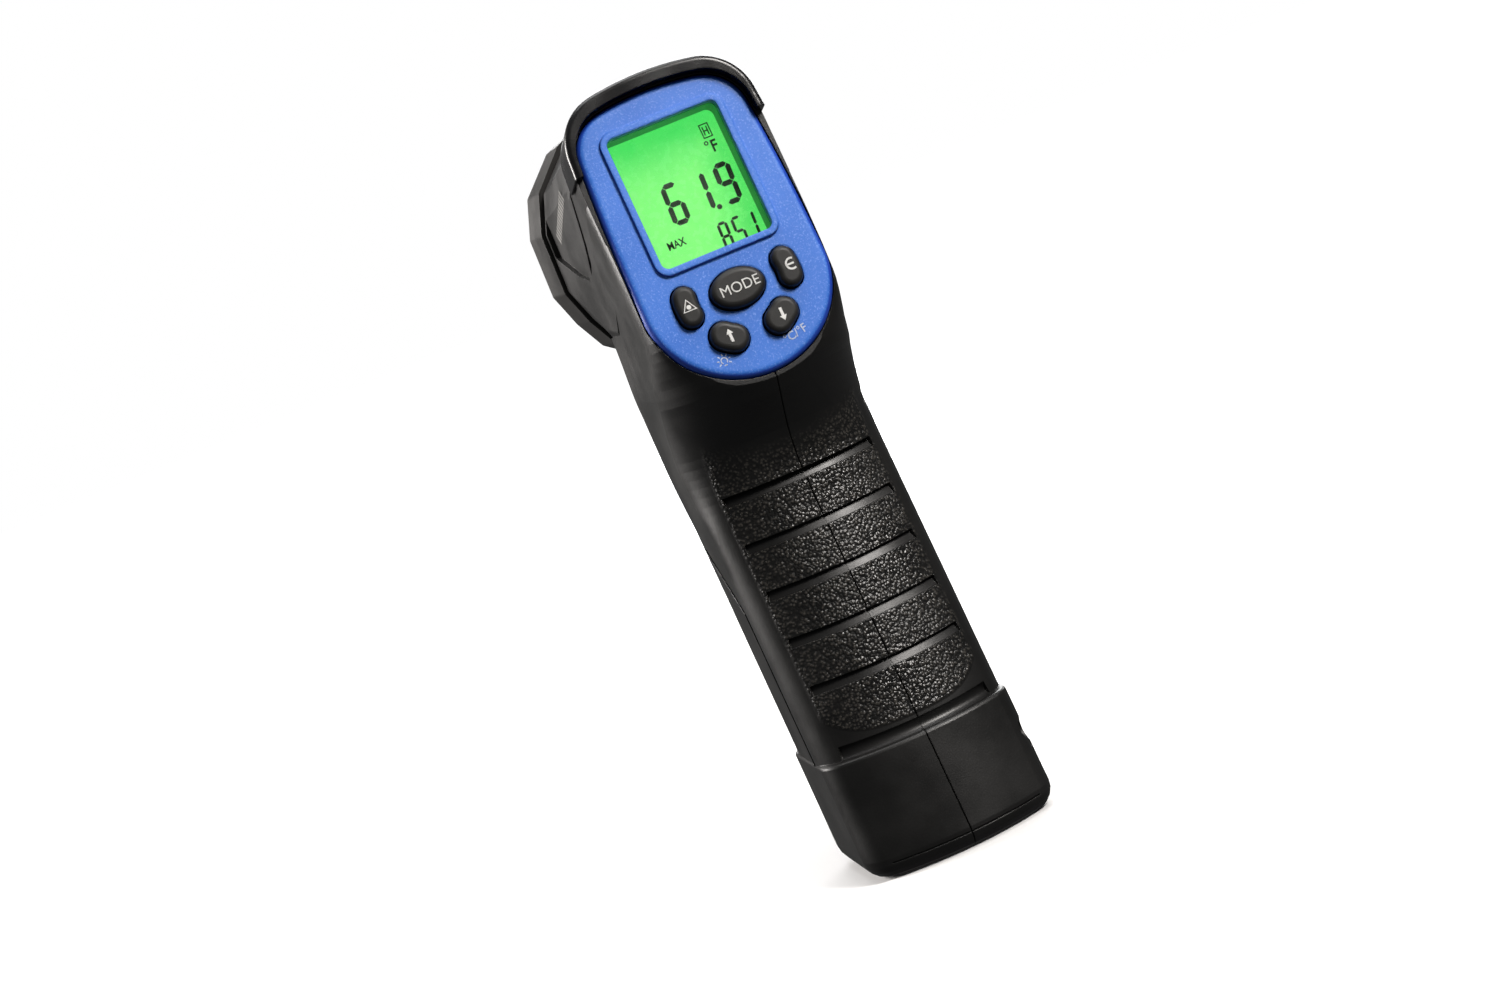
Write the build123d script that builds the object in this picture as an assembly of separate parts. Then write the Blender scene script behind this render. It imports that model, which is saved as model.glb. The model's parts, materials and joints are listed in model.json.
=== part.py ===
"""Pistol-grip infrared thermometer, built as the assembly of its real pieces.

Frame: X to the right of the person holding it, Y forward along the sight line, Z up. The origin is
the middle of the foot that the instrument stands on. All sizes are in millimetres.
"""

import math
import os

from build123d import *

# ---------------------------------------------------------------- driving dimensions
# Parting line between the two housing halves
SEAM_DEPTH = 0.5
SEAM_HALF_WIDTH = 0.14

# Slanted handle
GRIP_SLANT = 13.5  # the handle leans back from the vertical towards its foot, degrees
GRIP_HALF_WIDTH = 21.0
GRIP_DEPTH = 36.5
GRIP_CROWN_RADIUS = 32.0  # plan radius of the handle's back
GRIP_REAR_AT_FOOT = -22.2  # where the back line of the handle meets the foot's plane
GRIP_TAPER = 0.7  # each side comes in by this much from the back corner to the front corner
WALL = 2.2  # housing wall

# Foot of the handle
BASE_HEIGHT = 25.2
BASE_PROUD = 0.8  # how far the foot's back stands out from the handle
BASE_SIDE_PROUD = 0.3
BASE_FRONT_PROUD = 2.6
BASE_BOTTOM_RADIUS = 4.5
BASE_TOP_RADIUS = 0.7
BASE_CROWN_RADIUS = 42.0

# Back of the handle
GROOVE_COUNT = 5
GROOVE_PITCH = 10.3
GROOVE_FIRST_Z = 40.2
GROOVE_HALF_WIDTH = 16.9
GROOVE_HEIGHT = 2.1
GROOVE_DEPTH = 1.1

# Display face: a tilted plane whose lower tip is FACE_LIP_Y, FACE_LIP_Z
FACE_TILT = 13.0
FACE_LIP_Y = -13.0
FACE_LIP_Z = 103.8
BEZEL_HALF_WIDTH = 20.2
BEZEL_HEIGHT = 63.4
BEZEL_CHIN = 19.0  # height of the half-elliptical lower end
BEZEL_CORNER_RADIUS = 9.5
BEZEL_CROWN_RADIUS = 62.0
BEZEL_SIDE_RADIUS = 437.0
BEZEL_THICKNESS = 3.0
BEZEL_EDGE_RADIUS = 1.5
RIM_WIDTH = 0.9  # housing seen around the bezel
RIM_BELOW_FACE = 0.9
BEZEL_GAP = 0.2

# Window in the bezel and the display stack behind it, depths measured from the bezel's face
WINDOW_HALF_WIDTH = 12.3
WINDOW_LOW = 27.0
WINDOW_HIGH = 56.2
WINDOW_CORNER = 1.6
FRAME_WIDTH = 1.7
FRAME_HEIGHT = 0.7
LENS_DEPTH = 1.0
LENS_THICKNESS = 1.0
GLASS_DEPTH = 6.2
GLASS_THICKNESS = 2.2
BACKLIGHT_THICKNESS = 2.6
BOARD_DEPTH = 11.9
BOARD_THICKNESS = 1.6
BOARD_HALF_WIDTH = 16.4
STACK_GAP = 0.1

# Keys
KEY_RING_CENTRE = 18.2  # height of the middle key's centre on the display face
KEY_RISE = 1.9
KEY_GAP = 0.35
KEY_TRAVEL = 0.8
KEY_TOP_RADIUS = 1.2
PILL_THICKNESS = 0.4
STEM_RADIUS = 1.6

# Sun hood over the top of the bezel
HOOD_MARGIN = 2.0
HOOD_RAISE = 1.4
HOOD_FOOT = 50.8  # height on the display face where the hood's two legs end
HOOD_OUT = 2.2
HOOD_IN = 9.0
HOOD_EDGE_RADIUS = 1.2
HOOD_GAP = 0.35

# Barrel
BARREL_HALF_WIDTH = 21.2
BARREL_TOP = FACE_LIP_Z + 61.0
BARREL_BOTTOM = FACE_LIP_Z + 10.5
BARREL_FRONT = 52.0
BARREL_WALL = 2.4
BARREL_EDGE_RADIUS = 1.5
PANEL_RECESS = 1.1

# Nose
NOSE_LENGTH = 22.0
NOSE_PROUD = 0.9
NOSE_WALL = 2.6
SIGHT_Z = FACE_LIP_Z + 34.0  # height of the optical axis
APERTURE_RADIUS = 12.5
LENS_RADIUS = 7.0
LENS_SEAT = BARREL_FRONT + 5.0
LENS_DOME_RADIUS = 16.0
LENS_THICKNESS_AT_EDGE = 1.6
RETAINER_FRONT = LENS_SEAT + 3.6
FUNNEL_RADIUS = APERTURE_RADIUS + 1.5
TUBE_RADIUS = LENS_RADIUS + 3.0
TUBE_BORE = LENS_RADIUS - 1.0
TUBE_BACK = BARREL_FRONT - 14.0
SENSOR_RADIUS = 4.6
LASER_Z = SIGHT_Z + 18.6
LASER_RADIUS = 3.0
LASER_WINDOW_RADIUS = 2.2

# Trigger
TRIGGER_PIVOT_Y = 35.0
TRIGGER_PIVOT_Z = FACE_LIP_Z + 6.5
TRIGGER_HALF_WIDTH = 6.2
TRIGGER_GAP = 0.35
TRIGGER_PIN_RADIUS = 1.0
TRIGGER_PIN_HALF = 10.0
TRIGGER_SLOT_LOW = TRIGGER_PIVOT_Z - 27.0
BEARING_RADIUS = 2.9
SPRING_RADIUS = 2.2
SPRING_WIRE = 0.3
SPRING_PITCH = 0.9
SPRING_HALF = 1.6
SPRING_ROOM = 2.9
PLUNGER_RADIUS = 1.5
SWITCH_ARM = 13.0  # distance of the switch plunger below the trigger's pivot

# Battery door: front of the handle and underside of the foot in one piece
DOOR_HALF_WIDTH = 15.0
DOOR_FOOT_HALF_WIDTH = 16.6
DOOR_TOP_Z = 71.8
DOOR_THICKNESS = 2.2
DOOR_GAP = 0.3
HINGE_Y = -14.5
HINGE_Z = 1.9
HINGE_KNUCKLE_RADIUS = 1.7
HINGE_SWING_RADIUS = 2.7  # room for the door's edge to turn under the hinge
HINGE_PIN_RADIUS = 0.8
HINGE_PIN_HALF = 18.0
FOOT_LINE_DEPTH = 0.4  # moulded line round the foot's back, level with the door's upper edge
RUNNING_FIT = 0.05

# Nine-volt battery
BATTERY_WIDTH = 26.5
BATTERY_DEPTH = 17.5
BATTERY_BODY = 46.4
BATTERY_FOOT = 10.0  # height of the battery's underside along the handle
BATTERY_BACK = -5.2  # back face of the battery from the handle's middle plane

LEAD_RADIUS = 0.6

# Ribs behind the battery
RIB_PLACE = 9.0
RIB_THICKNESS = 1.6
RIB_FOOT = 15.0
RIB_HEIGHT = 38.0

# Fasteners
SCREW_TIP = -8.0
SCREW_SEAT = 11.0
BOARD_SCREW_RADIUS = 0.8
SCREW_RADIUS = 1.3
SCREW_HEAD_RADIUS = 2.5
BOSS_RADIUS = 4.0
SCREW_PLACES = [
    (18.0, SIGHT_Z + 19.5),
    (BARREL_FRONT - 16.0, SIGHT_Z + 19.0),
    (BARREL_FRONT - 4.6, BARREL_BOTTOM + 5.1),
    (8.0, FACE_LIP_Z - 14.0),
    (-11.5, 15.8),
]

BIG = 400.0

# ---------------------------------------------------------------- derived frames
slant_rise = math.tan(math.radians(GRIP_SLANT))
face_sin = math.sin(math.radians(FACE_TILT))
face_cos = math.cos(math.radians(FACE_TILT))
face = Plane(origin=(0, FACE_LIP_Y, FACE_LIP_Z), x_dir=(1, 0, 0), z_dir=(0, -face_cos, face_sin))
grip_origin_y = GRIP_REAR_AT_FOOT + GRIP_DEPTH / 2
grip = Plane(
    origin=(0, grip_origin_y, 0),
    x_dir=(1, 0, 0),
    z_dir=(0, math.sin(math.radians(GRIP_SLANT)), math.cos(math.radians(GRIP_SLANT))),
)

nodes = {}


def box_between(x0, x1, y0, y1, z0, z1):
    """A box by its limits."""
    return Pos((x0 + x1) / 2, (y0 + y1) / 2, (z0 + z1) / 2) * Box(x1 - x0, y1 - y0, z1 - z0)


def rod_x(y, z, radius, x0, x1):
    """A cylinder along X."""
    return Pos((x0 + x1) / 2, y, z) * Rot(0, 90, 0) * Cylinder(radius, x1 - x0)


def rod_y(x, z, radius, y0, y1):
    """A cylinder along Y."""
    return Pos(x, (y0 + y1) / 2, z) * Rot(90, 0, 0) * Cylinder(radius, y1 - y0)


def cone_y(z, y0, radius0, y1, radius1):
    """A cone along Y on the sight line's side plane, radius0 at y0 and radius1 at y1."""
    return Pos(0, (y0 + y1) / 2, z) * Rot(-90, 0, 0) * Cone(radius0, radius1, y1 - y0)


def side_prism(points, x0, x1):
    """A (Y, Z) polygon carried from x0 to x1."""
    outline = Plane.YZ.offset(x0) * make_face(Polyline(*points, close=True))
    return extrude(outline, amount=x1 - x0, dir=(1, 0, 0))


def on_face(sketch, low, high):
    """A sketch in display-face coordinates carried from depth low to high (outwards is up)."""
    return face * Pos(0, 0, low) * extrude(sketch, amount=high - low)


def bend_corner(start, vertex, end):
    """A smooth corner from start to end that heads for vertex at both ends."""
    pull = 0.6
    first = start + (vertex - start) * pull
    last = end + (vertex - end) * pull
    return Bezier(start, first, last, end)


def handle_section(z, rear, front, half_width, flat, crown, depth, inset=0.0):
    """Plan section at height z: crowned back, soft corners, straight sides, rounded front."""
    rear, front = rear + inset, front - inset
    half_width = half_width - inset
    flat = flat - inset * 0.5
    crown = crown - inset
    sag = crown - math.sqrt(crown**2 - flat**2)
    lean = flat / math.sqrt(crown**2 - flat**2)
    back_end = Vector(flat, rear + sag, z)
    back_vertex = Vector(half_width, rear + sag + lean * (half_width - flat), z)
    side_start = Vector(half_width, back_vertex.Y + depth, z)
    nose_flat = half_width - 9.0
    side_end = Vector(half_width - GRIP_TAPER, front - 9.5, z)
    front_vertex = Vector(half_width - GRIP_TAPER, front - 0.8, z)
    front_end = Vector(nose_flat, front - 0.5, z)

    def mirror_x(point):
        return Vector(-point.X, point.Y, point.Z)

    back = ThreePointArc(mirror_x(back_end), Vector(0, rear, z), back_end)
    right_back = bend_corner(back_end, back_vertex, side_start)
    right = Line(side_start, side_end)
    right_front = bend_corner(side_end, front_vertex, front_end)
    nose = ThreePointArc(front_end, Vector(0, front, z), mirror_x(front_end))
    left_front = bend_corner(mirror_x(front_end), mirror_x(front_vertex), mirror_x(side_end))
    left = Line(mirror_x(side_end), mirror_x(side_start))
    left_back = bend_corner(mirror_x(side_start), mirror_x(back_vertex), mirror_x(back_end))
    return make_face([back, right_back, right, right_front, nose, left_front, left, left_back])


def grip_rear(z):
    """Back line of the handle."""
    return GRIP_REAR_AT_FOOT + slant_rise * z


def grip_front(z):
    """Front line of the handle."""
    return grip_rear(z) + GRIP_DEPTH


def face_y(z):
    """Y of the display face at height z."""
    return FACE_LIP_Y + (z - FACE_LIP_Z) * face_sin / face_cos


# Shape of the thumb web in rows, from the straight handle up to the display: height above the
# display's lower tip, back line from that tip, front line from the handle's front where the web
# starts, extra half width, flat half of the back, crown radius and depth of the corners. None
# stands for the straight line of the handle or of the display face.
WEB = [
    (-28.0, None, None, 0.0, 17.2, 32.0, 4.2),
    (-20.0, 10.1, 2.7, 0.2, 15.6, 31.0, 6.0),
    (-14.0, 8.9, 4.1, 0.3, 12.2, 29.0, 9.0),
    (-8.0, 5.4, 5.1, 0.3, 9.4, 27.0, 12.0),
    (-3.0, 1.8, 5.7, 0.3, 7.2, 26.0, 14.0),
    (1.5, None, 6.1, 0.4, 8.7, 34.0, 14.0),
    (7.0, None, 6.5, 0.2, 15.7, 60.0, 10.0),
    (14.0, None, 6.5, 0.0, 19.0, 120.0, 6.0),
    (28.0, None, 6.5, 0.0, 19.6, 160.0, 4.0),
    (68.0, None, 6.5, 0.0, 19.6, 160.0, 4.0),
]
WEB_START = FACE_LIP_Z + WEB[0][0]


def web_rows():
    """The web's rows by height, with the lines of the handle and of the display face filled in."""
    rows = []
    for above, rear, front, wider, flat, crown, depth in WEB:
        z = FACE_LIP_Z + above
        if rear is None:
            rear_y = grip_rear(z) if above < 0 else face_y(z) - 1.0
        else:
            rear_y = FACE_LIP_Y + rear
        front_y = grip_front(z) if front is None else grip_front(WEB_START) + front
        flat = flat + GRIP_HALF_WIDTH - 21.0
        rows.append((z, rear_y, front_y, GRIP_HALF_WIDTH + wider, flat, crown, depth))
    return rows


def smooth_between(rows, z):
    """Values at height z on smooth curves through the rows (monotone cubic)."""
    heights = [row[0] for row in rows]
    place = max(i for i, height in enumerate(heights) if height <= z)
    place = min(place, len(rows) - 2)
    span = heights[place + 1] - heights[place]
    t = (z - heights[place]) / span
    values = []
    for column in range(1, len(rows[0])):
        here, there = rows[place][column], rows[place + 1][column]
        step = (there - here) / span
        before = step
        after = step
        if place > 0:
            before = (here - rows[place - 1][column]) / (heights[place] - heights[place - 1])
        if place < len(rows) - 2:
            after = (rows[place + 2][column] - there) / (heights[place + 2] - heights[place + 1])
        slope_here = 0.0 if before * step <= 0 else 2 * before * step / (before + step)
        slope_there = 0.0 if after * step <= 0 else 2 * after * step / (after + step)
        values.append(
            (2 * t**3 - 3 * t**2 + 1) * here
            + (t**3 - 2 * t**2 + t) * span * slope_here
            + (3 * t**2 - 2 * t**3) * there
            + (t**3 - t**2) * span * slope_there
        )
    return values


def handle_profile(z):
    """Back, front, half width, flat, crown radius and corner depth of the handle at height z."""
    if z <= WEB_START:
        return (
            grip_rear(z), grip_front(z), GRIP_HALF_WIDTH, GRIP_HALF_WIDTH - 3.8,
            GRIP_CROWN_RADIUS, 4.2,
        )
    return smooth_between(web_rows(), z)


def section_heights():
    """Heights of the plan sections: few on the straight handle, close together in the web."""
    heights = [6.0, WEB_START]
    while heights[-1] < FACE_LIP_Z + 20.0:
        heights.append(heights[-1] + 2.0)
    return heights + [FACE_LIP_Z + 28.0, FACE_LIP_Z + 68.0]


def handle_body(inset=0.0):
    """Handle, thumb web and the shoulder that carries the display, up to the display's top."""
    sections = []
    for z in section_heights():
        rear, front, half_width, flat, crown, depth = handle_profile(z)
        sections.append(handle_section(z, rear, front, half_width, flat, crown, depth, inset))
    return loft(sections, ruled=True)


def base_body(inset=0.0):
    """Foot of the handle, a little proud of it, with rounded lower and upper edges."""
    rounds = []
    for step in range(6):
        angle = math.radians(18 * step)
        rounds.append(
            (BASE_BOTTOM_RADIUS * (1 - math.cos(angle)), BASE_BOTTOM_RADIUS * (1 - math.sin(angle)))
        )
    for step in range(4):
        angle = math.radians(30 * step)
        rounds.append(
            (
                BASE_HEIGHT - BASE_TOP_RADIUS * (1 - math.sin(angle)),
                BASE_TOP_RADIUS * (1 - math.cos(angle)),
            )
        )
    sections = []
    for z, tuck in rounds:
        sections.append(
            handle_section(
                z, grip_rear(z) - BASE_PROUD, grip_front(z) + BASE_FRONT_PROUD,
                GRIP_HALF_WIDTH + BASE_SIDE_PROUD, GRIP_HALF_WIDTH - 3.2, BASE_CROWN_RADIUS, 4.0,
                inset + tuck,
            )
        )
    return loft(sections, ruled=True)


# Barrel outline by station along the sight line: half width, height above the sight line where
# the side starts to lean in, then drop-in and height of the two upper corners, height of the top,
# and how far the lower corners are cut up the side
BARREL_ROWS = [
    (-16.0, BARREL_HALF_WIDTH - 0.7, 18.5, 1.6, 25.0, 8.0, 30.0, 31.0, 6.0),
    (8.0, BARREL_HALF_WIDTH - 0.6, 14.0, 2.4, 22.0, 9.5, 28.2, 29.2, 6.0),
    (28.0, BARREL_HALF_WIDTH - 0.3, 11.0, 2.7, 19.2, 10.2, 26.3, 28.1, 8.0),
    (BARREL_FRONT, BARREL_HALF_WIDTH, 8.0, 3.0, 16.5, 11.0, 24.4, 27.0, 18.3),
    (BARREL_FRONT + NOSE_LENGTH, BARREL_HALF_WIDTH, 8.0, 3.0, 16.5, 11.0, 24.0, 26.0, 18.3),
]


def barrel_section(y, inset=0.0, corner=BARREL_EDGE_RADIUS):
    """Cross-section of the barrel at station y, seen along the sight line."""
    half, shoulder, drop_1, z_1, drop_2, z_2, top, lift = smooth_between(BARREL_ROWS, y)
    shoulder, z_1, z_2, top = (SIGHT_Z + height for height in (shoulder, z_1, z_2, top))
    half -= inset
    upper = [(half, shoulder - 0.3 * inset), (half - drop_1, z_1 - 0.6 * inset)]
    upper += [(half - drop_2, z_2 - 0.9 * inset), (half * 0.25, top - inset)]
    lower = [(half - 0.7 * lift, BARREL_BOTTOM + inset)]
    lower += [(half - 0.35 * lift, BARREL_BOTTOM + 0.25 * lift + 0.9 * inset)]
    lower += [(half - 0.15 * lift, BARREL_BOTTOM + 0.6 * lift + 0.6 * inset)]
    lower += [(half, BARREL_BOTTOM + lift + 0.3 * inset)]
    right = [Vector(x, y, z) for x, z in lower + upper]
    left = [Vector(-point.X, y, point.Z) for point in reversed(right)]
    outline = make_face(Polyline(*right, *left, close=True))
    return fillet(outline.vertices(), corner)


def barrel_body(stations, insets):
    """Straight-sided loft of barrel sections."""
    return loft([barrel_section(y, inset) for y, inset in zip(stations, insets)], ruled=True)


# The shoulder's front edge on the side of the instrument, from the bezel's side to the trigger:
# distance forward and height above the sight line
STEP_LINE = [(-12.0, 16.5), (-1.0, 10.0), (11.0, 1.5), (18.0, -5.5), (24.0, -14.5)]
STEP_LINE += [(29.0, -17.5), (60.0, -17.5), (60.0, -146.0), (-60.0, -146.0), (-60.0, 16.5)]


def from_sight(points):
    """Points given by their height above the sight line, as (Y, Z)."""
    return [(y, SIGHT_Z + height) for y, height in points]


# ---------------------------------------------------------------- display face outlines


def bezel_outline(margin=0.0):
    """Outline of the bezel in display-face coordinates, grown by margin."""
    side_centre = Vector(BEZEL_HALF_WIDTH - BEZEL_SIDE_RADIUS, BEZEL_CHIN)
    crown_centre = Vector(0, BEZEL_HEIGHT - BEZEL_CROWN_RADIUS)
    reach_side = BEZEL_SIDE_RADIUS - BEZEL_CORNER_RADIUS
    reach_crown = BEZEL_CROWN_RADIUS - BEZEL_CORNER_RADIUS
    between = crown_centre - side_centre
    distance = between.length
    along = (reach_side**2 - reach_crown**2 + distance**2) / (2 * distance)
    across = math.sqrt(reach_side**2 - along**2)
    unit = between * (1 / distance)
    corner_centre = side_centre + unit * along + Vector(-unit.Y, unit.X) * across
    side_way = (corner_centre - side_centre).normalized()
    crown_way = (corner_centre - crown_centre).normalized()
    side_end = side_centre + side_way * (BEZEL_SIDE_RADIUS + margin)
    crown_end = crown_centre + crown_way * (BEZEL_CROWN_RADIUS + margin)
    corner_way = (side_way + crown_way).normalized()
    corner_middle = corner_centre + corner_way * (BEZEL_CORNER_RADIUS + margin)
    side_angle = math.asin(side_way.Y) / 2
    side_middle = side_centre + Vector(math.cos(side_angle), math.sin(side_angle)) * (
        BEZEL_SIDE_RADIUS + margin
    )
    half = BEZEL_HALF_WIDTH + margin

    def mirror_x(point):
        return Vector(-point.X, point.Y)

    chin = EllipticalCenterArc((0, BEZEL_CHIN), half, BEZEL_CHIN + margin, 180, arc_size=180)
    right = ThreePointArc((half, BEZEL_CHIN), side_middle, side_end)
    right_corner = ThreePointArc(side_end, corner_middle, crown_end)
    crown = ThreePointArc(crown_end, (0, BEZEL_HEIGHT + margin), mirror_x(crown_end))
    left_corner = ThreePointArc(mirror_x(crown_end), mirror_x(corner_middle), mirror_x(side_end))
    left = ThreePointArc(mirror_x(side_end), mirror_x(side_middle), (-half, BEZEL_CHIN))
    return make_face([chin, right, right_corner, crown, left_corner, left])


def window_outline(margin=0.0):
    """The window's opening in display-face coordinates, grown by margin."""
    middle = (WINDOW_LOW + WINDOW_HIGH) / 2
    width = 2 * (WINDOW_HALF_WIDTH + margin)
    height = WINDOW_HIGH - WINDOW_LOW + 2 * margin
    return Pos(0, middle) * RectangleRounded(width, height, max(WINDOW_CORNER + margin, 0.4))


# Ring keys round the middle key: distance from its centre, direction in degrees, width and length
RING_KEYS = {
    "laser_key": (11.2, 179.0, 5.0, 8.8),
    "emissivity_key": (11.2, 1.0, 5.0, 8.8),
    "up_key": (10.4, 236.0, 5.9, 8.1),
    "down_key": (10.4, 304.0, 5.9, 8.1),
}
MODE_KEY_SIZE = (11.7, 8.2)


def key_outline(name, margin=0.0):
    """A key's outline in display-face coordinates, grown by margin."""
    if name == "mode_key":
        width, height = MODE_KEY_SIZE
        return Pos(0, KEY_RING_CENTRE) * Ellipse(width / 2 + margin, height / 2 + margin)
    distance, direction, width, length = RING_KEYS[name]
    sweep_angle = math.degrees((length - width) / distance)
    spine = CenterArc((0, KEY_RING_CENTRE), distance, direction - sweep_angle / 2, sweep_angle)
    return SlotArc(spine, width + 2 * margin)


def key_centre(name):
    """Where a key's stem stands on the display face."""
    if name == "mode_key":
        return (0.0, KEY_RING_CENTRE)
    distance, direction = RING_KEYS[name][:2]
    angle = math.radians(direction)
    return (distance * math.cos(angle), KEY_RING_CENTRE + distance * math.sin(angle))


KEY_NAMES = ["mode_key"] + list(RING_KEYS)
BOARD_POSTS = [(-15.0, 50.0), (15.0, 50.0), (-13.9, 11.0), (13.9, 11.0)]
POST_RADIUS = 1.5

# ---------------------------------------------------------------- housing


def door_region(gap):
    """Space of the battery door: front of the handle, underside of the foot and hinge knuckle."""
    reach = 7.0
    bottom, top = -1.0, DOOR_TOP_Z + gap
    outline = [(grip_front(bottom) - reach - gap, bottom), (60.0, bottom), (60.0, top)]
    outline += [(grip_front(top) - reach - gap, top)]
    width = DOOR_HALF_WIDTH + gap
    front = side_prism(outline, -width, width)
    foot_width = DOOR_FOOT_HALF_WIDTH + gap
    foot = box_between(-foot_width, foot_width, HINGE_Y, 40, -1, DOOR_THICKNESS + gap)
    knuckle = rod_x(HINGE_Y, HINGE_Z, HINGE_KNUCKLE_RADIUS + gap, -foot_width, foot_width)
    return front + foot + knuckle


def groove_cutter(z):
    """A finger groove across the crowned back: steep upper wall, floor that runs out downwards."""
    half = GROOVE_HEIGHT / 2
    top, bottom = z + half, z - half
    profile = [
        (grip_rear(top) - 2.0, top),
        (grip_rear(top) + GROOVE_DEPTH, top),
        (grip_rear(bottom) + GROOVE_DEPTH * 0.45, bottom),
        (grip_rear(bottom) - 2.0, bottom),
    ]
    centre_y = grip_rear(z) + GRIP_CROWN_RADIUS
    half_angle = math.degrees(math.asin(GROOVE_HALF_WIDTH / GRIP_CROWN_RADIUS))
    points = [(GRIP_CROWN_RADIUS + grip_rear(z) - y, height) for y, height in profile]
    wedge = Plane.XZ * make_face(Polyline(*points, close=True))
    ring = revolve(wedge, Axis.Z, 2 * half_angle)
    return Pos(0, centre_y, 0) * Rot(0, 0, 270 - half_angle) * ring


def cove_cutter():
    """The smooth hollow between the textured back and the foot."""
    z = BASE_HEIGHT + 1.6
    radius = GRIP_CROWN_RADIUS + 0.9
    centre_y = grip_rear(z) + GRIP_CROWN_RADIUS
    half_angle = math.degrees(math.asin(GROOVE_HALF_WIDTH / GRIP_CROWN_RADIUS))
    profile = Plane.XZ * (Pos(radius, z) * Circle(1.7))
    ring = revolve(profile, Axis.Z, 2 * half_angle)
    return Pos(0, centre_y, 0) * Rot(0, 0, 270 - half_angle) * ring


def side_channel(x_side):
    """Styling channel down the handle's side, bending forward at its top."""
    depth = 1.3
    inner = GRIP_HALF_WIDTH - depth
    start = BASE_HEIGHT - 0.5
    bend, finish = BASE_HEIGHT + 33.6, BASE_HEIGHT + 46.6

    def line_y(z):
        return grip_rear(z) + 13.6

    lean = 1.25
    half = 0.75
    top_y = line_y(bend) + (finish - bend) * lean
    points = [
        (line_y(start) - half, start),
        (line_y(bend) - half, bend),
        (top_y - half, finish),
        (top_y + half * 3, finish),
        (line_y(bend) + half, bend - half),
        (line_y(start) + half, start),
    ]
    if x_side > 0:
        return side_prism(points, inner, GRIP_HALF_WIDTH + 6)
    return side_prism(points, -GRIP_HALF_WIDTH - 6, -inner)


# Recess for the name panel on the barrel's side and the shallow one behind its rib, as distance
# forward and height above the sight line
PANEL = [(BARREL_FRONT - 1.6, 2.4), (34.0, -2.8), (25.0, -4.4), (19.3, 2.8), (15.6, 11.0)]
PANEL += [(13.5, 16.6), (BARREL_FRONT - 1.6, 16.6)]
BEHIND_RIB = [(21.3, -3.4), (16.2, 3.4), (12.4, 11.0), (10.8, 15.0), (1.0, 15.0)]
BEHIND_RIB += [(1.2, 10.4), (12.6, 1.8)]


def barrel_sides(points, depth):
    """A (Y, Z) outline cut depth deep into both sides of the barrel."""
    inner = BARREL_HALF_WIDTH - depth
    outer = BARREL_HALF_WIDTH + 8
    outline = from_sight(points)
    return side_prism(outline, inner, outer) + side_prism(outline, -outer, -inner)


barrel_stations = [-16.0, 8.0, 28.0, BARREL_FRONT - 12.0, BARREL_FRONT]


def outer_body(inset=0.0):
    """The whole outside of the housing, without its fine details."""
    shoulder = handle_body(inset) & side_prism(from_sight(STEP_LINE), -BIG, BIG)
    barrel = barrel_body(barrel_stations, [inset] * len(barrel_stations))
    below_shoulder = from_sight([(-14.0, 10.0), (30.0, -26.0), (-14.0, -36.0)])
    barrel -= side_prism(below_shoulder, -BIG, BIG)
    body = shoulder + barrel + base_body(inset)
    rim_plane = on_face(Rectangle(BIG, BIG), -RIM_BELOW_FACE - inset, BIG)
    return body - rim_plane


def inner_body():
    """The hollow inside the housing."""
    stations = [14.0, 28.0, BARREL_FRONT - 12.0, BARREL_FRONT + 1.0]
    barrel = barrel_body(stations, [BARREL_WALL] * len(stations))
    display = on_face(bezel_outline(-2.2), -30.0, -BEZEL_THICKNESS - STACK_GAP)
    display &= box_between(-BIG, BIG, -BIG, 16.0, 0, BARREL_TOP)
    below_optics = [(-60, -136), (60, -136), (60, -20), (29, -20), (20, -6), (-60, -6)]
    handle = handle_body(WALL) & side_prism(from_sight(below_optics), -BIG, BIG)
    handle -= on_face(Rectangle(BIG, BIG), -BEZEL_THICKNESS - WALL, BIG)
    foot = base_body(WALL) - box_between(-BIG, BIG, -BIG, BIG, -BIG, DOOR_THICKNESS)
    return barrel + display + handle + foot


outside = outer_body()
inside = inner_body()
shell = outside - inside

# Fine details of the outside
for number in range(GROOVE_COUNT):
    shell -= groove_cutter(GROOVE_FIRST_Z + number * GROOVE_PITCH)
shell -= cove_cutter()
shell -= side_channel(1) + side_channel(-1)
shell -= barrel_sides(PANEL, PANEL_RECESS)
shell -= barrel_sides(BEHIND_RIB, PANEL_RECESS * 0.7)
seam = outside - outer_body(SEAM_DEPTH)
shell -= seam & box_between(-SEAM_HALF_WIDTH, SEAM_HALF_WIDTH, -BIG, BIG, -BIG, BIG)

# Pocket for the bezel
shell -= on_face(bezel_outline(BEZEL_GAP), -BEZEL_THICKNESS - STACK_GAP, BIG)

# Screw bosses, battery ribs and trigger bearings
bosses = Part()
for y, z in SCREW_PLACES:
    bosses += rod_x(y, z, BOSS_RADIUS, -BIG / 2, BIG / 2)
ribs = Part()
for side in (-1, 1):
    rib = box_between(-RIB_THICKNESS / 2, RIB_THICKNESS / 2, -BIG, 0, RIB_FOOT, RIB_FOOT + RIB_HEIGHT)
    ribs += grip * Pos(side * RIB_PLACE, BATTERY_BACK - STACK_GAP, 0) * rib
bearing = rod_x(TRIGGER_PIVOT_Y, TRIGGER_PIVOT_Z, BEARING_RADIUS, TRIGGER_HALF_WIDTH + 0.5, BIG)
bearings = bearing + mirror(bearing, Plane.YZ)
shell += (bosses + ribs + bearings) & inside

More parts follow.
